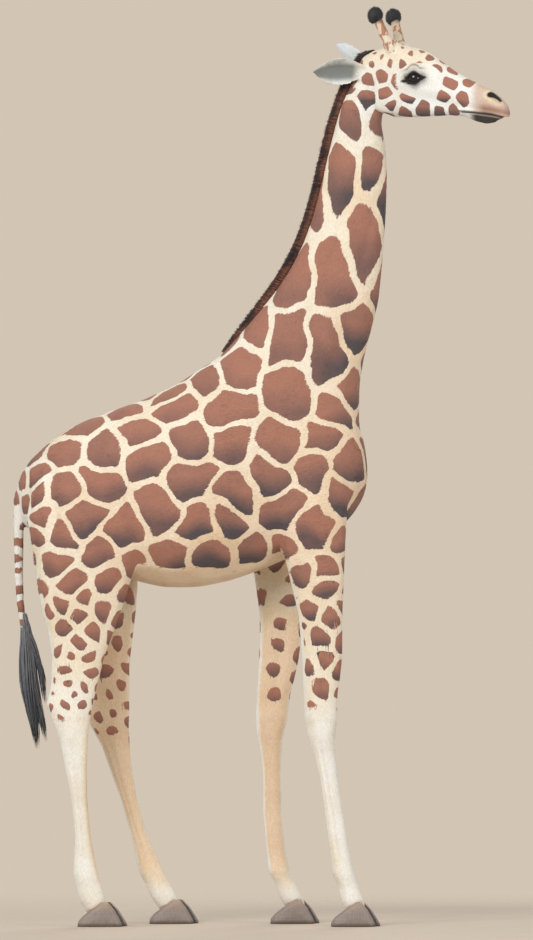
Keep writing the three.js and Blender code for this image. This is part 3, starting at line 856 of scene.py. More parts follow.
def coat_colour(finish, place, edge, middle_height, height):
    """Patches of red brown on a pale ground, with painted shade that darkens each patch towards its foot."""
    spacing = finish.attribute("spacing")
    shade = finish.attribute("shade")
    tone = finish.attribute("tone")
    wave = finish.centred(finish.noise(place, 26, 3.0))
    fringe = finish.centred(finish.noise(place, 210, 2.0))
    line = finish.math("MULTIPLY", finish.attribute("line"), 0.5)
    inside = finish.math("SUBTRACT", edge, line)
    sway = finish.math("MINIMUM", finish.math("MULTIPLY", spacing, 0.11), 0.020)
    inside = finish.math("MULTIPLY_ADD", wave, sway, inside)
    inside = finish.math("MULTIPLY_ADD", fringe, 0.004, inside)
    patch = finish.step(inside, -0.0008, 0.0018)
    # Painted shade: each patch darker towards its foot, and darker all over where the coat's shade is high.
    drop = finish.math("DIVIDE", finish.math("SUBTRACT", middle_height, height), spacing)
    low = finish.math("MULTIPLY_ADD", drop, 2.0, 0.30)
    deep = finish.math("MULTIPLY", finish.math("MAXIMUM", finish.math("SUBTRACT", shade, 0.85), 0.0), 0.8)
    dark = finish.math("MULTIPLY_ADD", finish.put("Clamp", {"Value": low}).outputs[0], shade, deep)
    # The random tone and blotches are the patches' own variation.
    dark = finish.math("MULTIPLY_ADD", finish.centred(tone), 0.30, dark)
    blotch = finish.noise(place, 9, 4.0)
    dark = finish.math("MULTIPLY_ADD", finish.centred(blotch), 0.55, dark)
    dark = finish.put("Clamp", {"Value": dark}).outputs[0]
    brown = finish.mix(dark, BROWN, DARK)
    ground = finish.attribute("ground", "Color")
    stain = finish.step(finish.noise(place, 5, 3.0), 0.35, 0.75)
    ground = finish.mix(stain, ground, finish.mix(1.0, ground, (0.93, 0.88, 0.80), "MULTIPLY"))
    return finish.mix(patch, ground, brown)


def hide_finish():
    """The skin under the coat, with the short flat hair as fine relief."""
    finish = Finish("short_coat")
    place = finish.here()
    placed = finish.attribute("placed", "Vector")
    spacing = finish.attribute("spacing")
    seeds = [finish.attribute(f"seed_{rank}", "Vector") for rank in range(4)]
    apart = [finish.distance(placed, seed) for seed in seeds]
    least = finish.math("MINIMUM", finish.math("MINIMUM", *apart[:2]), finish.math("MINIMUM", *apart[2:]))
    total = -1.0
    for length in apart:
        gap = finish.math("DIVIDE", finish.math("SUBTRACT", least, length), spacing)
        total = finish.math("ADD", finish.math("EXPONENT", finish.math("MULTIPLY", gap, ROUNDING)), total)
    closeness = finish.math("LOGARITHM", finish.math("MAXIMUM", total, 1e-6), math.e)
    edge = finish.math("MULTIPLY", finish.math("MULTIPLY", closeness, -0.5 / ROUNDING), spacing)
    upright = finish.attribute("upright")
    colour_here = coat_colour(finish, place, edge, finish.part(seeds[0], 2), finish.part(placed, 2))
    grain = hair_grain(finish, place, upright)
    lit = finish.step(grain, 0.3, 0.7, 0.86, 1.1)
    colour_here = finish.shaded(colour_here, lit)
    folds = finish.emboss(finish.noise(place, 22, 3.0), 0.0035, 0.35)
    relief = finish.emboss(grain, 0.0011, 0.7, folds)
    finish.set(Base_Color=colour_here, Roughness=finish.step(grain, 0.2, 0.8, 0.62, 0.86), Normal=relief)
    finish.set(Sheen_Weight=0.12, Sheen_Roughness=0.5, Specular_IOR_Level=0.28)
    return finish.material


def tuft_finish():
    """The locks of the short coat: each takes the marking of the place it grows from."""
    finish = Finish("coat_locks")
    root = finish.attribute("root", "Vector")
    edge = finish.attribute("edge")
    shown = coat_colour(finish, root, edge, finish.attribute("drop"), 0.0)
    along = finish.attribute("along")
    spread = finish.noise(root, 90, 1.0)
    lit = finish.math("ADD", finish.step(along, 0, 1, 0.90, 1.05), finish.step(spread, 0.3, 0.7, -0.06, 0.06))
    shown = finish.shaded(shown, lit)
    strands = finish.noise(finish.here(), 700, 2.0)
    relief = finish.emboss(strands, 0.0006, 0.25)
    finish.set(Base_Color=shown, Roughness=0.7, Normal=relief, Sheen_Weight=0.12, Specular_IOR_Level=0.3)
    return finish.material


def lock_finish(name, root_tone, tip_tone, turn=0.5, gloss=0.5):
    """Long hair in locks: one colour at the root and another at the tip, with streaks."""
    finish = Finish(name)
    along = finish.attribute("along")
    tone = finish.attribute("tone")
    turned = finish.math("ADD", along, finish.math("MULTIPLY_ADD", tone, 0.4, -0.2))
    turned = finish.math("MULTIPLY_ADD", finish.attribute("shade"), 0.7, turned)
    shown = finish.mix(finish.step(turned, turn - 0.22, turn + 0.22), root_tone, tip_tone)
    streak = finish.noise(finish.here(), 60, 3.0, (4, 4, 0.6))
    streaked = finish.step(streak, 0.3, 0.7, 0.72, 1.12)
    lit = finish.math("ADD", streaked, finish.math("MULTIPLY_ADD", tone, 0.4, -0.2))
    shown = finish.shaded(shown, lit)
    relief = finish.emboss(streak, 0.002, 0.5)
    finish.set(Base_Color=shown, Roughness=gloss, Normal=relief, Sheen_Weight=0.1, Specular_IOR_Level=0.35)
    return finish.material


def horn_finish():
    """Haired bony horns: tan with brown flecks, darker towards the top."""
    finish = Finish("haired_horn")
    place = finish.here()
    low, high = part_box("ossicone_right")
    rise = finish.step(finish.part(place, 2), low.z + 0.03, high.z)
    base = finish.mix(rise, CREAM, TAN)
    fleck = finish.step(finish.noise(place, 30, 2.0, (1.4, 1.4, 0.8)), 0.52, 0.60)
    base = finish.mix(finish.math("MULTIPLY", fleck, 0.85), base, colour(181, 113, 77))
    base = finish.mix(finish.step(finish.part(place, 2), high.z - 0.055, high.z - 0.005), base, DARK)
    grain = finish.noise(place, 1.0, 3.0, (420, 420, 60))
    relief = finish.emboss(grain, 0.001, 0.7, finish.emboss(finish.noise(place, 40, 3.0), 0.003, 0.4))
    finish.set(Base_Color=base, Roughness=0.75, Normal=relief, Sheen_Weight=0.12)
    return finish.material


def hoof_finish():
    """Grey brown horn with growth rings across it and fine grooves down it, paler at the hairline, with
    painted shade at the cleft between the claws.
    """
    finish = Finish("hoof_horn")
    place = finish.here()
    height = finish.part(place, 2)
    wobble = finish.noise(place, 12, 2.0)
    rings = finish.math("MULTIPLY_ADD", wobble, 3.0, finish.math("MULTIPLY", height, 380))
    rings = finish.math("SINE", rings)
    down = finish.noise(place, 1.0, 3.0, (190, 190, 22))
    shown = finish.mix(finish.step(down, 0.25, 0.8), colour(136, 123, 116), colour(153, 140, 132))
    shown = finish.mix(finish.step(height, 0.06, 0.12), shown, colour(167, 145, 127))
    shown = finish.mix(finish.step(height, 0.025, 0.0), shown, colour(86, 72, 65))
    scuff = finish.step(finish.noise(place, 45, 4.0), 0.6, 0.78, 0, 0.4)
    shown = finish.mix(scuff, shown, colour(183, 167, 151))
    # Painted shade: a dark line across the farther claw just in front of the nearer claw's toe, where the
    # cleft between them lies.
    ragged = finish.math("MULTIPLY_ADD", finish.noise(place, 90, 2.0), 0.04, finish.attribute("reach"))
    groove = finish.math("ABSOLUTE", finish.math("SUBTRACT", ragged, 0.945))
    shown = finish.mix(finish.step(groove, 0.036, 0.022), shown, colour(68, 61, 59))
    relief = finish.emboss(rings, 0.0005, 0.3, finish.emboss(down, 0.0007, 0.4))
    finish.set(Base_Color=shown, Roughness=finish.step(down, 0.3, 0.7, 0.42, 0.66), Normal=relief)
    return finish.material


def eye_finish():
    """A dark brown eye with a wide pupil that lies flat, under a wet surface."""
    finish = Finish("eye")
    look = finish.attribute("look", "Vector")
    flat = finish.put("Mapping", {"Vector": look, "Scale": (0.62, 0.0, 1.1)}).outputs[0]
    away = finish.length(flat)
    ring = finish.put("Mapping", {"Vector": look, "Scale": (1.0, 0.0, 1.0)}).outputs[0]
    from_middle = finish.length(ring)
    rays = finish.noise(finish.put("VectorMath", {0: ring}, operation="NORMALIZE").outputs[0], 14, 3.0)
    iris = finish.mix(finish.step(rays, 0.3, 0.7), colour(30, 21, 18), colour(54, 37, 28))
    shown = finish.mix(finish.step(away, 0.30, 0.38), colour(11, 9, 12), iris)
    shown = finish.mix(finish.step(from_middle, 0.60, 0.70), shown, colour(31, 22, 20))
    shown = finish.mix(finish.step(from_middle, 0.80, 0.92), shown, colour(45, 36, 32))
    finish.set(Base_Color=shown, Roughness=0.25, Specular_IOR_Level=0.05)
    finish.set(Coat_Weight=1.0, Coat_Roughness=0.03)
    return finish.material


# ---------------------------------------------------------------- locks of hair

def lock_mesh(name, centres, widths, side, flat, notes, roots, sides=3, ring_notes=()):
    """Tapered locks in one mesh. Centres run from root to tip, and a width is half a lock's at its ring.
    A note is one value for each lock, and a ring note one for each of its rings."""
    count, rings = centres.shape[:2]
    run = unit(np.gradient(centres, axis=1))
    across = side[:, None] - (side[:, None] * run).sum(axis=2, keepdims=True) * run
    across = unit(across)
    lift = np.cross(run, across)
    turns = np.arange(sides) * 2 * math.pi / sides + math.pi / 2
    ring = across[:, :-1, None] * np.cos(turns)[:, None] + flat * lift[:, :-1, None] * np.sin(turns)[:, None]
    walls = centres[:, :-1, None] + widths[:, :, None, None] * ring
    each = (rings - 1) * sides + 1
    points = np.concatenate([walls.reshape(count, -1, 3), centres[:, -1:]], axis=1)
    faces = [list(range(sides - 1, -1, -1))]
    for level in range(rings - 2):
        for spoke in range(sides):
            after = (spoke + 1) % sides
            low = level * sides
            faces.append([low + spoke, low + after, low + sides + after, low + sides + spoke])
    for spoke in range(sides):
        low = (rings - 2) * sides
        faces.append([low + spoke, low + (spoke + 1) % sides, each - 1])
    corners = np.array([corner for face in faces for corner in face])
    starts = np.cumsum([0] + [len(face) for face in faces[:-1]])
    mesh = bpy.data.meshes.new(name)
    mesh.vertices.add(count * each)
    mesh.vertices.foreach_set("co", points.astype(np.float32).ravel())
    index = (corners[None] + np.arange(count)[:, None] * each).ravel()
    mesh.loops.add(len(index))
    mesh.loops.foreach_set("vertex_index", index.astype(np.int32))
    mesh.polygons.add(count * len(faces))
    begin = (starts[None] + np.arange(count)[:, None] * len(corners)).ravel()
    mesh.polygons.foreach_set("loop_start", begin.astype(np.int32))
    mesh.update(calc_edges=True)
    level = np.append(np.repeat(np.arange(rings - 1), sides), rings - 1) / (rings - 1)
    attribute(mesh, "along", np.tile(level, count))
    for note, values in notes.items():
        attribute(mesh, note, np.repeat(values, each, axis=0))
    for note, values in dict(ring_notes).items():
        values = np.concatenate([np.repeat(values[:, :-1], sides, axis=1), values[:, -1:]], axis=1)
        attribute(mesh, note, values.reshape(count * each, *values.shape[2:]))
    turn = np.append(np.tile(turns, rings - 1), 0)
    patch = np.stack([np.cos(turn) * (1 - 0.6 * level), 2 * level - 1 + 0.4 * np.sin(turn)], axis=1) * 0.0012
    placed = np.clip(roots, 0.003, 0.997)[:, None] + patch[None]
    layer = mesh.uv_layers.new(name="OFBake")
    layer.data.foreach_set("uv", placed.reshape(-1, 2)[index].astype(np.float32).ravel())
    return mesh


NECK_FOOT = np.array((0.12, 0.0, 2.90))
NECK_TOP = np.array((0.52, 0.0, 4.20))
TRUNK_LIE = np.array((-1.0, 0.0, -0.30))
NECK_LIE = unit(NECK_FOOT - NECK_TOP)
HEAD_LIE = -HEAD_AXES[0] + np.array((0, 0, -0.15))
TRUNK_MIDDLE = 2.3  # height of the trunk's middle line


def lie_at(points, normals):
    """The way the coat lies: back along the face and trunk, down the neck, legs and tail."""
    on_head = head_share(points)[:, None]
    neck = soft(2.7, 3.2, points[:, 2])[:, None]
    falls = np.maximum(leg_share(points), soft(-1.12, -1.16, points[:, 0]))[:, None]
    front = (soft(0.30, 0.44, points[:, 0]) * soft(3.0, 2.8, points[:, 2]))[:, None]
    guide = blend(neck, TRUNK_LIE, NECK_LIE)
    guide = blend(np.maximum(falls, 0.8 * front), guide, np.array((0.0, 0.0, -1.0)))
    guide = blend(on_head, guide, HEAD_LIE)
    for side, out in OUTWARD.items():
        mine = ear_share(points) * (np.sign(points[:, 1] - BROW[1]) == out)
        guide = blend(mine[:, None], guide, 1.5 * unit(np.array(EAR_WAYS[side][0])) @ HEAD_AXES)
    guide = guide + CHANCE.normal(0, 0.16, guide.shape)
    return laid_flat(guide, normals)


def faces_of(mesh):
    """The points, normals, corners and areas of a mesh of triangles."""
    corners = np.empty(len(mesh.polygons) * 3, np.int32)
    mesh.polygons.foreach_get("vertices", corners)
    areas = vectors(mesh.polygons, "area", 1)[:, 0]
    return points_of(mesh), normals_of(mesh), corners.reshape(-1, 3), areas


def scatter(faces, weights, count):
    """Places on the skin's faces, drawn by area and weight: where, and which way is out."""
    points, normals, corners, areas = faces
    chosen = CHANCE.choice(len(corners), count, p=areas * weights / (areas * weights).sum())
    share = CHANCE.random((count, 2))
    over = share.sum(axis=1) > 1
    share[over] = 1 - share[over]
    share = np.column_stack([1 - share.sum(axis=1), share])[:, :, None]
    where = (points[corners[chosen]] * share).sum(axis=1)
    return where, unit((normals[corners[chosen]] * share).sum(axis=1))


def laid_flat(ways, normals):
    """These ways, turned to lie along the surface."""
    return unit(ways - (ways * normals).sum(axis=1, keepdims=True) * normals)


def curved(root, way, bend, length, levels):
    """Hairs that start along one way and bend towards another."""
    return np.stack([root + way * length * t + bend * length * t * t for t in levels], axis=1)


def turn_share(across, ahead):
    """A full turn round a middle line, as 0 to 1."""
    return np.arctan2(across, ahead) / (2 * math.pi) + 0.5


def span_share(values):
    return (values - values.min()) / (values.max() - values.min())


def axis_of(points):
    """The middle line of an upright limb: its middle at each height."""
    slices = 23
    heights = np.linspace(points[:, 2].min(), points[:, 2].max(), slices + 1)
    owner = np.clip(np.searchsorted(heights, points[:, 2]) - 1, 0, slices - 1)
    middles = []
    for row in range(slices):
        mine = points[owner == row]
        middles.append((mine.min(axis=0) + mine.max(axis=0)) / 2 if len(mine) else np.zeros(3))
    middles = np.array(middles)
    level = (heights[:-1] + heights[1:]) / 2
    return np.stack([np.interp(points[:, 2], level, middles[:, i]) for i in range(2)], axis=1)


def unwrap_limb(points):
    middles = axis_of(points)
    turn = turn_share(points[:, 1] - middles[:, 1], points[:, 0] - middles[:, 0])
    return np.column_stack([span_share(points[:, 2]), turn])


def unwrap_legs(points):
    right = points[:, 1] < 0
    placed = np.zeros((len(points), 2))
    placed[right] = unwrap_limb(points[right]) * (1, 0.49)
    placed[~right] = unwrap_limb(points[~right]) * (1, 0.49) + (0, 0.51)
    return placed


def unwrap_trunk(points):
    turn = turn_share(points[:, 1], points[:, 2] - TRUNK_MIDDLE)
    return np.column_stack([span_share(points[:, 0]), turn])


def unwrap_neck(points):
    run = NECK_TOP - NECK_FOOT
    run = run / np.linalg.norm(run)
    away = points - NECK_FOOT
    forward = np.cross((0, 1, 0), run)
    return np.column_stack([span_share(away @ run), turn_share(away[:, 1], away @ forward)])


def unwrap_head(points):
    head = in_head(points)
    turn = turn_share(head[:, 1], head[:, 2] + 0.06)
    placed = np.column_stack([(head[:, 0] + 0.37) / 0.87, turn * 0.78])
    ears = ear_share(points) > 0.01
    for row, side in enumerate(OUTWARD.values()):
        mine = ears & (np.sign(points[:, 1]) == side)
        if mine.any():
            run = head[mine]
            low, high = run.min(axis=0), run.max(axis=0)
            share = (run - low) / (high - low)
            placed[mine] = np.column_stack([share[:, 0] * 0.98 + 0.01, 0.79 + 0.1 * row + 0.09 * share[:, 2]])
    return placed


# A coat lock's rings: the share of its length, and its lift where it lies and where it stands.
COAT_STEPS = ((0.0, -1.2, -1.2), (0.40, 0.3, 0.5), (1.0, 0.0, 1.7))


def coat(skin, name, where, count, length, width, unwrap, middles, tones, material):
    """Flat locks over one part of the skin, which lie along it and lap over each other."""
    density = where(vectors(skin.data.polygons, "center"))
    root, out = scatter(faces_of(skin.data), density, count)
    lie = lie_at(root, out)
    spacing, line, shade, warmth = coat_at(root, out)
    near = nearest(as_marked(root), middles, 4)
    long = length(root) * CHANCE.uniform(0.7, 1.25, count)
    wide = width * long * CHANCE.uniform(0.75, 1.2, count)
    stands = CHANCE.random(count) < 0.07 * (1 - ear_share(root)) * (1 - 0.6 * leg_share(root))
    lift = CHANCE.uniform(0.6, 1.2, count) * np.minimum(blend(leg_share(root), 0.0010, 0.0005), 0.045 * long)
    lift = lift * (1 - 0.6 * ear_share(root))
    centres = np.stack(
        [
            root + lie * (long * run)[:, None] + out * (lift * np.where(stands, standing, lying))[:, None]
            for run, lying, standing in COAT_STEPS
        ],
        axis=1,
    )
    widths = np.column_stack([wide * 0.75, wide])
    shown = blend(0.75, root[:, None], centres)
    flat = shown.reshape(-1, 3)
    placed = as_marked(flat)
    owner = np.repeat(np.arange(count), 3)
    edges = edge_of(placed, middles[near[owner]], spacing[owner])
    drops = middles[near[owner, 0]][:, 2] - placed[:, 2]
    ring_notes = {
        "root": shown,
        "edge": edges.reshape(count, 3),
        "drop": drops.reshape(count, 3),
    }
    notes = {
        "spacing": spacing,
        "line": line,
        "shade": shade,
        "tone": tones[near[:, 0]],
        "ground": ground_colour(root, out, warmth),
    }
    across = np.cross(out, lie)
    made = lock_mesh(name, centres, widths, across, 0.12, notes, unwrap(root), ring_notes=ring_notes)
    return finish_piece(link(name, made, material, False), "hide")


def make_ear_hair(skin):
    """Long pale hair inside the ears, from both rims towards the middle."""
    mesh = skin.data
    faces = faces_of(mesh)
    centres = vectors(mesh.polygons, "center")
    count = 420
    pale = lock_finish("ear_hair", colour(234, 232, 223), colour(221, 219, 212), 0.5, 0.7)
    for side, out in OUTWARD.items():
        root, axes = ear_frame(side)
        place = (in_head(centres) - root) @ axes.T
        turned = vectors(mesh.polygons, "normal") @ HEAD_AXES.T @ axes[2]
        half = np.interp(place[:, 0], (0.0, 0.09, 0.15, 0.22), (0.03, 0.058, 0.066, 0.055))
        rim = hump(np.abs(place[:, 1]) / half, 0.82, 0.14)
        rim = rim * soft(0.01, 0.04, place[:, 0]) * soft(0.23, 0.15, place[:, 0])
        mine = (ear_share(centres) > 0.1) * (np.sign(centres[:, 1] - BROW[1]) == out)
        start, _ = scatter(faces, rim * (turned > 0.1) * mine, count)
        beside = np.sign(((in_head(start) - root) @ axes.T)[:, 1])[:, None]
        way = (0.9 * axes[0] - 0.9 * beside * axes[1] + 0.45 * axes[2]) @ HEAD_AXES
        way = unit(way + CHANCE.normal(0, 0.16, way.shape))
        bend = -0.5 * axes[2] @ HEAD_AXES
        long = CHANCE.uniform(0.014, 0.026, count)[:, None]
        levels = (-0.1, 0.4, 0.75, 1.0)
        hair = curved(start, way, bend, long, levels)
        widths = np.full((count, 1), 0.0007) * np.array((1.0, 0.9, 0.6))
        across = np.cross(way, axes[2] @ HEAD_AXES)
        spread = ((in_head(start) - root) @ axes.T)[:, :2] * (3.0, 6.0) + (0.05, 0.5)
        notes = {"tone": CHANCE.random(count)}
        made = lock_mesh(f"ear_hair_{side}", hair, widths, across, 0.6, notes, spread)
        finish_piece(link(f"ear_hair_{side}", made, pale), "hide")


# ---------------------------------------------------------------- mane and tail hair

FRAME_SHIFT = -0.0022  # from the places in the next tables to the frame's own
# Along the crest: forward, up, and how far the hair stands above it.
CREST = (
    (-0.190, 2.868, 0.008),
    (-0.100, 2.965, 0.032),
    (0.000, 3.085, 0.042),
    (0.110, 3.228, 0.048),
    (0.193, 3.375, 0.050),
    (0.252, 3.530, 0.050),
    (0.295, 3.690, 0.050),
    (0.332, 3.850, 0.051),
    (0.370, 4.000, 0.052),
    (0.412, 4.130, 0.052),
    (0.464, 4.245, 0.052),
    (0.516, 4.340, 0.046),
    (0.576, 4.374, 0.012),
)


MANE_GROUPS = 240  # clumps of hair that lean the same way
MANE_ROOT = 0.014  # how deep the hair starts


def along_line(places, shares):
    """Places at these shares of the length of a line through the given places."""
    places = np.array(places)
    steps = np.linalg.norm(np.diff(places[:, :3], axis=0), axis=1)
    length = np.append(0, np.cumsum(steps)) / steps.sum()
    return np.stack([np.interp(shares, length, places[:, i]) for i in range(places.shape[1])], axis=1)


def make_mane():
    """Short upright hair in close rows from the poll to the withers, over a dark ridge."""
    crest = [(x + FRAME_SHIFT, middle("mane")[1], z, rise) for x, z, rise in CREST]
    count = 10500
    shares = np.sort(CHANCE.random(count))
    spots = along_line(crest, shares)
    ahead = along_line(crest, np.minimum(shares + 0.01, 1))[:, :3]
    run = unit(ahead - along_line(crest, np.maximum(shares - 0.01, 0))[:, :3])
    out = np.cross(run, (0, 1, 0))
    out *= np.sign(out[:, 2:3] + 1e-9)
    place = CHANCE.uniform(-1, 1, count)
    group = np.floor(shares * MANE_GROUPS + place * 0.8).astype(int) + 1
    spare = MANE_GROUPS + 3
    tall = spots[:, 3] * CHANCE.uniform(0.74, 1.0, count) * (1 - 0.25 * place**2)
    tall *= 1 - 0.12 * CHANCE.random(spare)[group]
    root = spots[:, :3] + np.column_stack([np.zeros(count), place * 0.016, np.zeros(count)]) - out * MANE_ROOT
    lean = run * (CHANCE.normal(-0.30, 0.11, spare)[group])[:, None] + CHANCE.normal(0, 0.045, (count, 3))
    lean += (CHANCE.normal(0, 0.03, spare)[group] + 0.09 * place)[:, None] * np.array((0, 1, 0))
    levels = np.array((0, 0.4, 0.75, 1.0))
    rise = levels[None, :, None]
    reach = (tall + MANE_ROOT)[:, None, None] * rise
    centres = root[:, None] + out[:, None] * reach * (1 - 0.05 * rise) + lean[:, None] * reach * rise
    wide = CHANCE.uniform(0.0011, 0.0021, count)
    widths = wide[:, None] * np.array((1.0, 0.95, 0.6))
    patchy = np.clip(np.sin(shares * 41) * np.sin(shares * 17 + 2), 0, 1)
    notes = {"tone": CHANCE.random(count), "shade": np.maximum(soft(0.90, 0.96, shares), 0.8 * patchy)}
    spread = np.column_stack([shares, 0.5 + 0.5 * place])
    side = unit(run + CHANCE.normal(0, 0.5, run.shape))
    made = lock_mesh("mane_hair", centres, widths, side, 0.5, notes, spread)
    finish = lock_finish("mane_hair", colour(147, 93, 72), colour(65, 52, 51), 0.68, 0.55)
    finish_piece(link("mane_hair", made, finish), "mane_hair", "mane")
    ridge = node_copy("mane", -0.012)
    bmesh.ops.subdivide_edges(ridge, edges=ridge.edges, cuts=2, use_grid_fill=True)
    core = link("mane_ridge", joined([ridge], "mane_ridge"), mane_ridge_finish())
    modify(core, "SMOOTH", factor=0.5, iterations=6)
    finish_piece(core, "mane_hair")


def mane_ridge_finish():
    finish = Finish("mane_ridge")
    grain = finish.noise(finish.here(), 1.0, 3.0, (180, 180, 180))
    shown = finish.mix(grain, colour(81, 49, 38), colour(140, 81, 59))
    finish.set(Base_Color=shown, Roughness=0.85, Normal=finish.emboss(grain, 0.003, 0.8))
    return finish.material


# Lines that the tail's long locks follow, in forward and up, with half the width of the spread at each place.
TAIL_LINES = (
    (0.58, ((-1.182, 1.56, 0.012), (-1.176, 1.45, 0.019), (-1.168, 1.34, 0.034), (-1.160, 1.22, 0.037),
            (-1.148, 1.10, 0.028), (-1.130, 0.99, 0.019), (-1.118, 0.875, 0.006))),
    (0.16, ((-1.182, 1.56, 0.010), (-1.158, 1.45, 0.014), (-1.122, 1.36, 0.012), (-1.094, 1.26, 0.011),
            (-1.080, 1.15, 0.008), (-1.076, 1.10, 0.004))),
    (0.26, ((-1.182, 1.56, 0.012), (-1.168, 1.42, 0.022), (-1.148, 1.25, 0.027), (-1.116, 1.10, 0.018),
            (-1.088, 1.00, 0.012), (-1.072, 0.91, 0.005))),
)


def make_tail_hair():
    """Long black locks that hang from the end of the tail and part into three points."""
    total = 620
    low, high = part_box("tail_tuft")
    middle_y = (low.y + high.y) / 2
    all_centres, tones, unrolled = [], [], []
    for row, (part, line) in enumerate(TAIL_LINES):
        count = int(total * part)
        angle = CHANCE.uniform(0, 2 * math.pi, count)
        reach = np.sqrt(CHANCE.random(count))
        end = CHANCE.uniform(0.62, 1.0, count)
        start = CHANCE.uniform(0.0, 0.22, count)
        levels = np.linspace(0, 1, 8)
        shares = start[:, None] + (end - start)[:, None] * levels
        spots = along_line([(x, 0, z, wide) for x, z, wide in line], shares.ravel()).reshape(count, 8, 4)
        spread = spots[:, :, 3] * reach[:, None]
        wander = np.cumsum(CHANCE.normal(0, 0.0016, (count, 8, 2)), axis=1)
        centres = spots[:, :, :3].copy()
        centres[:, :, 0] += np.cos(angle)[:, None] * spread + wander[:, :, 0] + FRAME_SHIFT
        centres[:, :, 1] += middle_y + 0.8 * np.sin(angle)[:, None] * spread + wander[:, :, 1]
        all_centres.append(centres)
        tones.append(CHANCE.random(count))
        unrolled.append(np.column_stack([(row + reach) / 3, angle / (2 * math.pi)]))
    centres = np.concatenate(all_centres)
    count = len(centres)
    wide = CHANCE.uniform(0.0035, 0.0065, count)
    widths = wide[:, None] * np.array((0.7, 1.0, 1.0, 0.95, 0.8, 0.6, 0.4))
    side = unit(CHANCE.normal(0, 1, (count, 3)) * (1, 1, 0.1))
    notes = {"tone": np.concatenate(tones)}
    made = lock_mesh("tail_hair", centres, widths, side, 0.45, notes, np.concatenate(unrolled), sides=4)
    finish = lock_finish("tail_hair", colour(120, 122, 125), colour(93, 96, 102), 0.5, 0.42)
    finish_piece(link("tail_hair", made, finish), "black_hair", "tail_tuft")


def make_horns():
    finish = horn_finish()
    core_finish = crown()
    hair = lock_finish("horn_hair", colour(77, 72, 72), colour(59, 59, 61), 0.5, 0.5)
    for side in SIDES:
        node = f"ossicone_{side}"
        horn = link(f"horn_{side}", joined([node_copy(node)], f"horn_{side}"), finish)
        modify(horn, "REMESH", mode="VOXEL", voxel_size=0.003)
        modify(horn, "SMOOTH", factor=0.6, iterations=24)
        set_points(horn.data, flared(points_of(horn.data), node))
        horn.data.shade_smooth()
        finish_piece(horn, "horn", node)
        horn_coat(horn, side, finish)
        low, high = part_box(f"ossicone_tuft_{side}")
        centre, half = np.array((low + high) / 2), np.array((high - low) / 2)
        axis = centre - np.array(middle(node))
        axis = axis / np.linalg.norm(axis)
        count = 1500
        way = unit(CHANCE.normal(0, 1, (count * 3, 3)))
        way = way[way @ axis > -0.66][:count]
        count = len(way)
        tip = centre + way * half * CHANCE.uniform(0.96, 1.12, (count, 1))
        bend = unit(way + 0.55 * axis)
        root = centre - axis * 0.012 + way * half * 0.30
        levels = np.array((0, 0.5, 1.0))[None, :, None]
        bow = (bend * 0.006)[:, None] * np.sin(levels * math.pi)
        centres = root[:, None] * (1 - levels) + tip[:, None] * levels + bow
        widths = CHANCE.uniform(0.0018, 0.0032, (count, 1)) * np.array((0.9, 1.0))
        across = unit(np.cross(way, CHANCE.normal(0, 1, way.shape)))
        turn = turn_share(way[:, 1], way[:, 0])
        spread = np.column_stack([turn, 0.5 + 0.5 * way[:, 2]])
        notes = {"tone": CHANCE.random(count)}
        made = lock_mesh(f"horn_hair_{side}", centres, widths, across, 0.6, notes, spread, sides=4)
        finish_piece(link(f"horn_hair_{side}", made, hair), "black_hair", f"ossicone_tuft_{side}")
        ball = bmesh.new()
        shape = Matrix.Translation(centre) @ Matrix.Diagonal((*(half * 0.88), 1))
        bmesh.ops.create_icosphere(ball, subdivisions=3, radius=1.0, matrix=shape)
        core = link(f"horn_crown_{side}", joined([ball], f"horn_crown_{side}"), core_finish)
        finish_piece(core, "black_hair")


def horn_coat(horn, side, finish):
    """Short hair that lies up the horn."""
    form = bmesh.new()
    form.from_mesh(horn.data)
    bmesh.ops.triangulate(form, faces=form.faces)
    corners = np.array([[vert.index for vert in face.verts] for face in form.faces])
    areas = np.array([face.calc_area() for face in form.faces])
    form.free()
    count = 1800
    shape = (points_of(horn.data), normals_of(horn.data), corners, areas)
    root, out = scatter(shape, np.ones(len(corners)), count)
    axis = horn_line(side)[1]
    lie = axis + CHANCE.normal(0, 0.14, root.shape)
    lie = laid_flat(lie, out)
    long = CHANCE.uniform(0.007, 0.012, count)
    steps = ((0.0, -0.0006), (0.45, 0.0006), (1.0, 0.0009))
    centres = np.stack([root + lie * (long * run)[:, None] + out * rise for run, rise in steps], axis=1)
    widths = (0.10 * long)[:, None] * np.array((0.75, 1.0))
    made = lock_mesh(f"horn_coat_{side}", centres, widths, np.cross(out, lie), 0.12, {}, unwrap_limb(root))
    finish_piece(link(f"horn_coat_{side}", made, finish, False), "horn")


def flared(points, node):
    """A horn whose foot narrows where it goes under the skin."""
    centre, axis, _ = horn_line(node.split("_")[1])
    rise = (points - centre) @ axis
    rise = rise - rise.min()
    line = centre + axis * ((points - centre) @ axis)[:, None]
    foot = soft(0.045, 0.0, rise)[:, None]
    drawn = soft(0.13, 0.02, rise)[:, None] * horn_lean(node.split("_")[1])
    return line + (points - line) * (1 - 0.25 * foot) - drawn


def crown():
    finish = Finish("horn_crown")
    grain = finish.noise(finish.here(), 160, 3.0)
    shown = finish.mix(grain, colour(40, 38, 38), colour(65, 61, 60))
    finish.set(Base_Color=shown, Roughness=0.7, Normal=finish.emboss(grain, 0.004, 0.8))
    return finish.material


# ---------------------------------------------------------------- eyes

def make_eyes():
    finish = eye_finish()
    for side in SIDES:
        centre = EYES[side]
        ball = bmesh.new()
        place = Matrix.Translation(centre)
        bmesh.ops.create_uvsphere(ball, u_segments=48, v_segments=32, radius=EYE_RADIUS, matrix=place)
        piece = link(f"eyeball_{side}", joined([ball], f"eyeball_{side}"), finish)
        look = (points_of(piece.data) - np.array(centre)) @ HEAD_AXES.T / EYE_RADIUS
        attribute(piece.data, "look", look)
        finish_piece(piece, "eye", f"eye_{side}")


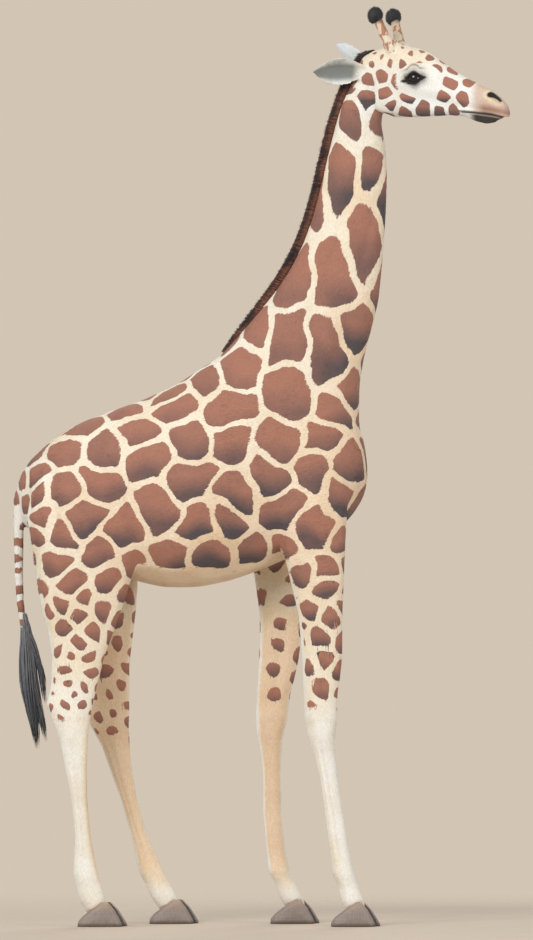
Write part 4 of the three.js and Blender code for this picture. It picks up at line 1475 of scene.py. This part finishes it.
def make_lashes():
    """Long dark lashes on the upper lid and short ones below."""
    dark = lock_finish("lash_hair", colour(36, 30, 29), colour(22, 20, 20), 0.5, 0.45)
    for side, out in OUTWARD.items():
        rows, spread = [], []
        for count, top, long in ((64, 1, 0.026), (34, -1, 0.012)):
            along = CHANCE.uniform(-0.93, 0.93, count) * LID_HALF
            lid = LID_TOP if top > 0 else LID_BOTTOM
            up = top * lid * (1 - (along / LID_HALF) ** 2) + top * CHANCE.uniform(0.001, 0.004, count)
            forward = along * math.cos(LID_TILT) - up * math.sin(LID_TILT)
            height = up * math.cos(LID_TILT) + along * math.sin(LID_TILT)
            deep = HALF_GAP + np.sqrt(np.maximum(EYE_RADIUS**2 - forward**2 - height**2, 0)) + 0.002
            root = np.column_stack([forward, out * deep, height])
            fan = along / LID_HALF
            way = np.column_stack([0.55 * fan + 0.1, out * np.full(count, 0.9), np.full(count, -0.25 * top)])
            way = unit(way + CHANCE.normal(0, 0.07, way.shape))
            curl = np.column_stack([0.2 * fan, np.zeros(count), np.full(count, 0.55 * top)])
            length = long * CHANCE.uniform(0.75, 1.1, count)[:, None]
            levels = (0, 0.35, 0.7, 1)
            rows.append(curved(root, way, curl, length, levels))
            spread.append(np.column_stack([0.5 + 0.5 * fan, np.full(count, 0.5 + 0.3 * top)]))
        centres = np.concatenate(rows)
        centres = from_head(centres.reshape(-1, 3)).reshape(centres.shape)
        widths = np.full((len(centres), 1), 0.00075) * np.array((1.0, 0.9, 0.55))
        across = np.tile(HEAD_AXES[0], (len(centres), 1))
        notes = {"tone": CHANCE.random(len(centres))}
        made = lock_mesh(f"lashes_{side}", centres, widths, across, 1.0, notes, np.concatenate(spread))
        finish_piece(link(f"lashes_{side}", made, dark), "black_hair")


# ---------------------------------------------------------------- hooves

SLICE_HEIGHT = 0.006  # of a claw, for how far its toe reaches at each height
CLAW_SLICES = 21
SOLE = 0.004  # below this a claw is flat on the ground
DRAWN_IN = 0.90  # the right claw of each hoof is this much of its length, so the other shows past it


def make_claw(node, is_right, finish):
    horn = link(f"{node}_horn", joined([node_copy(node)], node), finish)
    modify(horn, "REMESH", mode="VOXEL", voxel_size=0.0032)
    height = points_of(horn.data)[:, 2]
    weigh(horn, "wall", soft(SOLE, 0.02, height))
    modify(horn, "SMOOTH", factor=0.6, iterations=30, vertex_group="wall")
    points = points_of(horn.data)
    points[:, 2] = np.where(height < SOLE, 0.0, np.maximum(points[:, 2], 0))
    heel = points[:, 0].min()
    row = np.clip((points[:, 2] / SLICE_HEIGHT).astype(int), 0, CLAW_SLICES - 1)
    rows = range(CLAW_SLICES)
    toe = np.array([points[row == k, 0].max() if np.any(row == k) else heel + 0.1 for k in rows])
    toe_here = np.interp(points[:, 2] / SLICE_HEIGHT - 0.5, np.arange(CLAW_SLICES), toe)
    reach = (points[:, 0] - heel) / (toe_here - heel)
    # reach places the painted shade of the cleft on the farther claw only
    attribute(horn.data, "reach", reach * (0.0 if is_right else 1.0))
    if is_right:
        points[:, 0] = heel + (points[:, 0] - heel) * DRAWN_IN
    set_points(horn.data, points)
    horn.data.shade_smooth()
    horn.vertex_groups.clear()
    finish_piece(horn, "hoof", node)


def make_hooves():
    finish = hoof_finish()
    for end in ("fore", "hind"):
        for side in SIDES:
            for claw in ("inner", "outer"):
                is_right = claw == ("outer" if side == "right" else "inner")
                make_claw(f"hoof_{end}_{side}_{claw}", is_right, finish)


# ---------------------------------------------------------------- the animal

skin = make_skin()
middles, tones = mark(skin)
skin.data.materials.append(hide_finish())
finish_piece(skin, "hide", *FLESH)
locks = tuft_finish()


def off_head(points):
    return 1 - np.clip(np.maximum(head_share(points), ear_share(points)), 0, 1)


LEG_TOP = 1.72
NECK_BASE = 2.98


def half_of(where, side):
    """The share of one side of a part, left or right of the mane."""
    def share(points):
        is_left = points[:, 1] >= middle("mane")[1]
        return where(points) * (is_left if side == "left" else ~is_left)
    return share


def on_trunk(points):
    body = (points[:, 2] > LEG_TOP) & (points[:, 2] < NECK_BASE)
    return off_head(points) * (body & ((points[:, 0] > TAIL_FRONT) | (points[:, 2] >= 2.2)))


def on_neck(points):
    return off_head(points) * (points[:, 2] >= NECK_BASE)


def on_leg(points):
    return (points[:, 2] <= LEG_TOP) * blend(soft(0.9, 1.3, points[:, 2]), 1.7, 1.0)


def on_fore(points):
    return is_fore(points) * on_leg(points)


def on_hind(points):
    return is_hind(points) * on_leg(points)


def on_head_only(points):
    head = in_head(points)
    ears = ear_share(points)
    _, _, past = eye_frame(head)
    clear = (np.abs(head[:, 1]) < 0.05) | (past > 0.012)
    share = np.maximum(head_share(points), ears) * clear
    return share * soft(0.40, 0.34, head[:, 0]) * blend(ears, 1.0, 1.3)


def on_face(points):
    return on_head_only(points) * (in_head(points)[:, 0] > -0.07)


def on_poll(points):
    return on_head_only(points) * (in_head(points)[:, 0] <= -0.07)


def on_tail(points):
    return (points[:, 0] <= TAIL_FRONT) * (points[:, 2] < 2.2)


def body_length(points):
    return np.interp(points[:, 2], (0.1, 0.6, 1.3, 1.9, 2.4, 4.2), (0.014, 0.018, 0.022, 0.026, 0.028, 0.022))


def head_length(points):
    head = in_head(points)
    plain = np.interp(head[:, 0], (-0.3, 0.0, 0.35), (0.016, 0.010, 0.007))
    return plain * blend(ear_share(points), 1.0, 0.6)


def tail_length(points):
    return np.full(len(points), 0.026)


for name, where, count, length, width, unwrap in (
    ("coat_trunk_right", half_of(on_trunk, "right"), 18000, body_length, 0.08, unwrap_trunk),
    ("coat_trunk_left", half_of(on_trunk, "left"), 18000, body_length, 0.08, unwrap_trunk),
    ("coat_neck", on_neck, 18000, body_length, 0.08, unwrap_neck),
    ("coat_face", on_face, 14500, head_length, 0.09, unwrap_head),
    ("coat_poll", on_poll, 13500, head_length, 0.09, unwrap_head),
    ("coat_fore_legs", on_fore, 17000, body_length, 0.085, unwrap_legs),
    ("coat_hind_legs", on_hind, 18000, body_length, 0.085, unwrap_legs),
    ("coat_tail", on_tail, 2400, tail_length, 0.12, unwrap_limb),
):
    coat(skin, name, where, count, length, width, unwrap, middles, tones, locks)

make_ear_hair(skin)
make_mane()
make_tail_hair()
make_horns()
make_eyes()
make_lashes()
make_hooves()


# ---------------------------------------------------------------- room, light and camera

BACKDROP = colour(211, 197, 180)
CAMERA_PLACE = (0.0275, -60.0, 2.275)  # far off, so that near and far legs show at nearly one size
FOCAL_LENGTH = 459.6
SENSOR = 36


def floor_finish():
    """A plain pale floor that fades into the background before its far edge."""
    finish = Finish("floor")
    place = finish.here()
    away = finish.length(place)
    fade = finish.step(away, 1.6, 5.0)
    grain = finish.noise(place, 3, 3.0)
    shown = finish.mix(grain, BACKDROP * 0.89, BACKDROP * 0.95)
    finish.set(Base_Color=shown, Roughness=0.9, Specular_IOR_Level=0.1)
    clear = finish.put("BsdfTransparent")
    both = finish.put("MixShader", {0: fade, 1: finish.shader.outputs[0], 2: clear.outputs[0]})
    finish.tree.links.new(both.outputs[0], finish.tree.nodes["Material Output"].inputs["Surface"])
    return finish.material


def make_floor():
    disc = bmesh.new()
    bmesh.ops.create_circle(disc, cap_ends=True, segments=64, radius=6.0)
    link("floor", joined([disc], "floor"), floor_finish(), False)


def make_world():
    world = bpy.data.worlds.new("studio")
    bpy.context.scene.world = world
    world.use_nodes = True
    tree = world.node_tree
    lit = tree.nodes["Background"]
    lit.inputs["Color"].default_value = (1.0, 0.98, 0.95, 1.0)
    lit.inputs["Strength"].default_value = 0.48
    seen = tree.nodes.new("ShaderNodeBackground")
    seen.inputs["Color"].default_value = (*BACKDROP, 1.0)
    rays = tree.nodes.new("ShaderNodeLightPath")
    either = tree.nodes.new("ShaderNodeMath")
    either.operation = "MAXIMUM"
    tree.links.new(rays.outputs["Is Camera Ray"], either.inputs[0])
    tree.links.new(rays.outputs["Is Transmission Ray"], either.inputs[1])
    both = tree.nodes.new("ShaderNodeMixShader")
    tree.links.new(either.outputs[0], both.inputs[0])
    tree.links.new(lit.outputs[0], both.inputs[1])
    tree.links.new(seen.outputs[0], both.inputs[2])
    tree.links.new(both.outputs[0], tree.nodes["World Output"].inputs["Surface"])


def make_lamp(name, place, aim, size, power):
    lamp = bpy.data.lights.new(name, "AREA")
    lamp.shape = "DISK"
    lamp.size = size
    lamp.energy = power
    piece = bpy.data.objects.new(name, lamp)
    bpy.context.scene.collection.objects.link(piece)
    piece.location = place
    piece.rotation_euler = (Vector(aim) - Vector(place)).to_track_quat("-Z", "Y").to_euler()


def make_camera():
    lens = bpy.data.cameras.new("camera")
    lens.sensor_width = SENSOR
    lens.sensor_fit = "VERTICAL"
    lens.sensor_height = SENSOR
    lens.lens = FOCAL_LENGTH
    lens.clip_end = 200
    piece = bpy.data.objects.new("camera", lens)
    bpy.context.scene.collection.objects.link(piece)
    piece.location = CAMERA_PLACE
    piece.rotation_euler = (math.pi / 2, 0, 0)
    bpy.context.scene.camera = piece


make_floor()
make_world()
make_lamp("key", (-7.0, -11.0, 10.0), (0, 0, 2.2), 7.0, 1380)
make_lamp("fill", (9.0, -8.0, 4.0), (0, 0, 2.0), 6.0, 380)
make_lamp("back", (2.0, 10.0, 9.0), (0, 0, 2.4), 6.0, 500)
make_camera()
bpy.context.scene.view_settings.view_transform = "Standard"
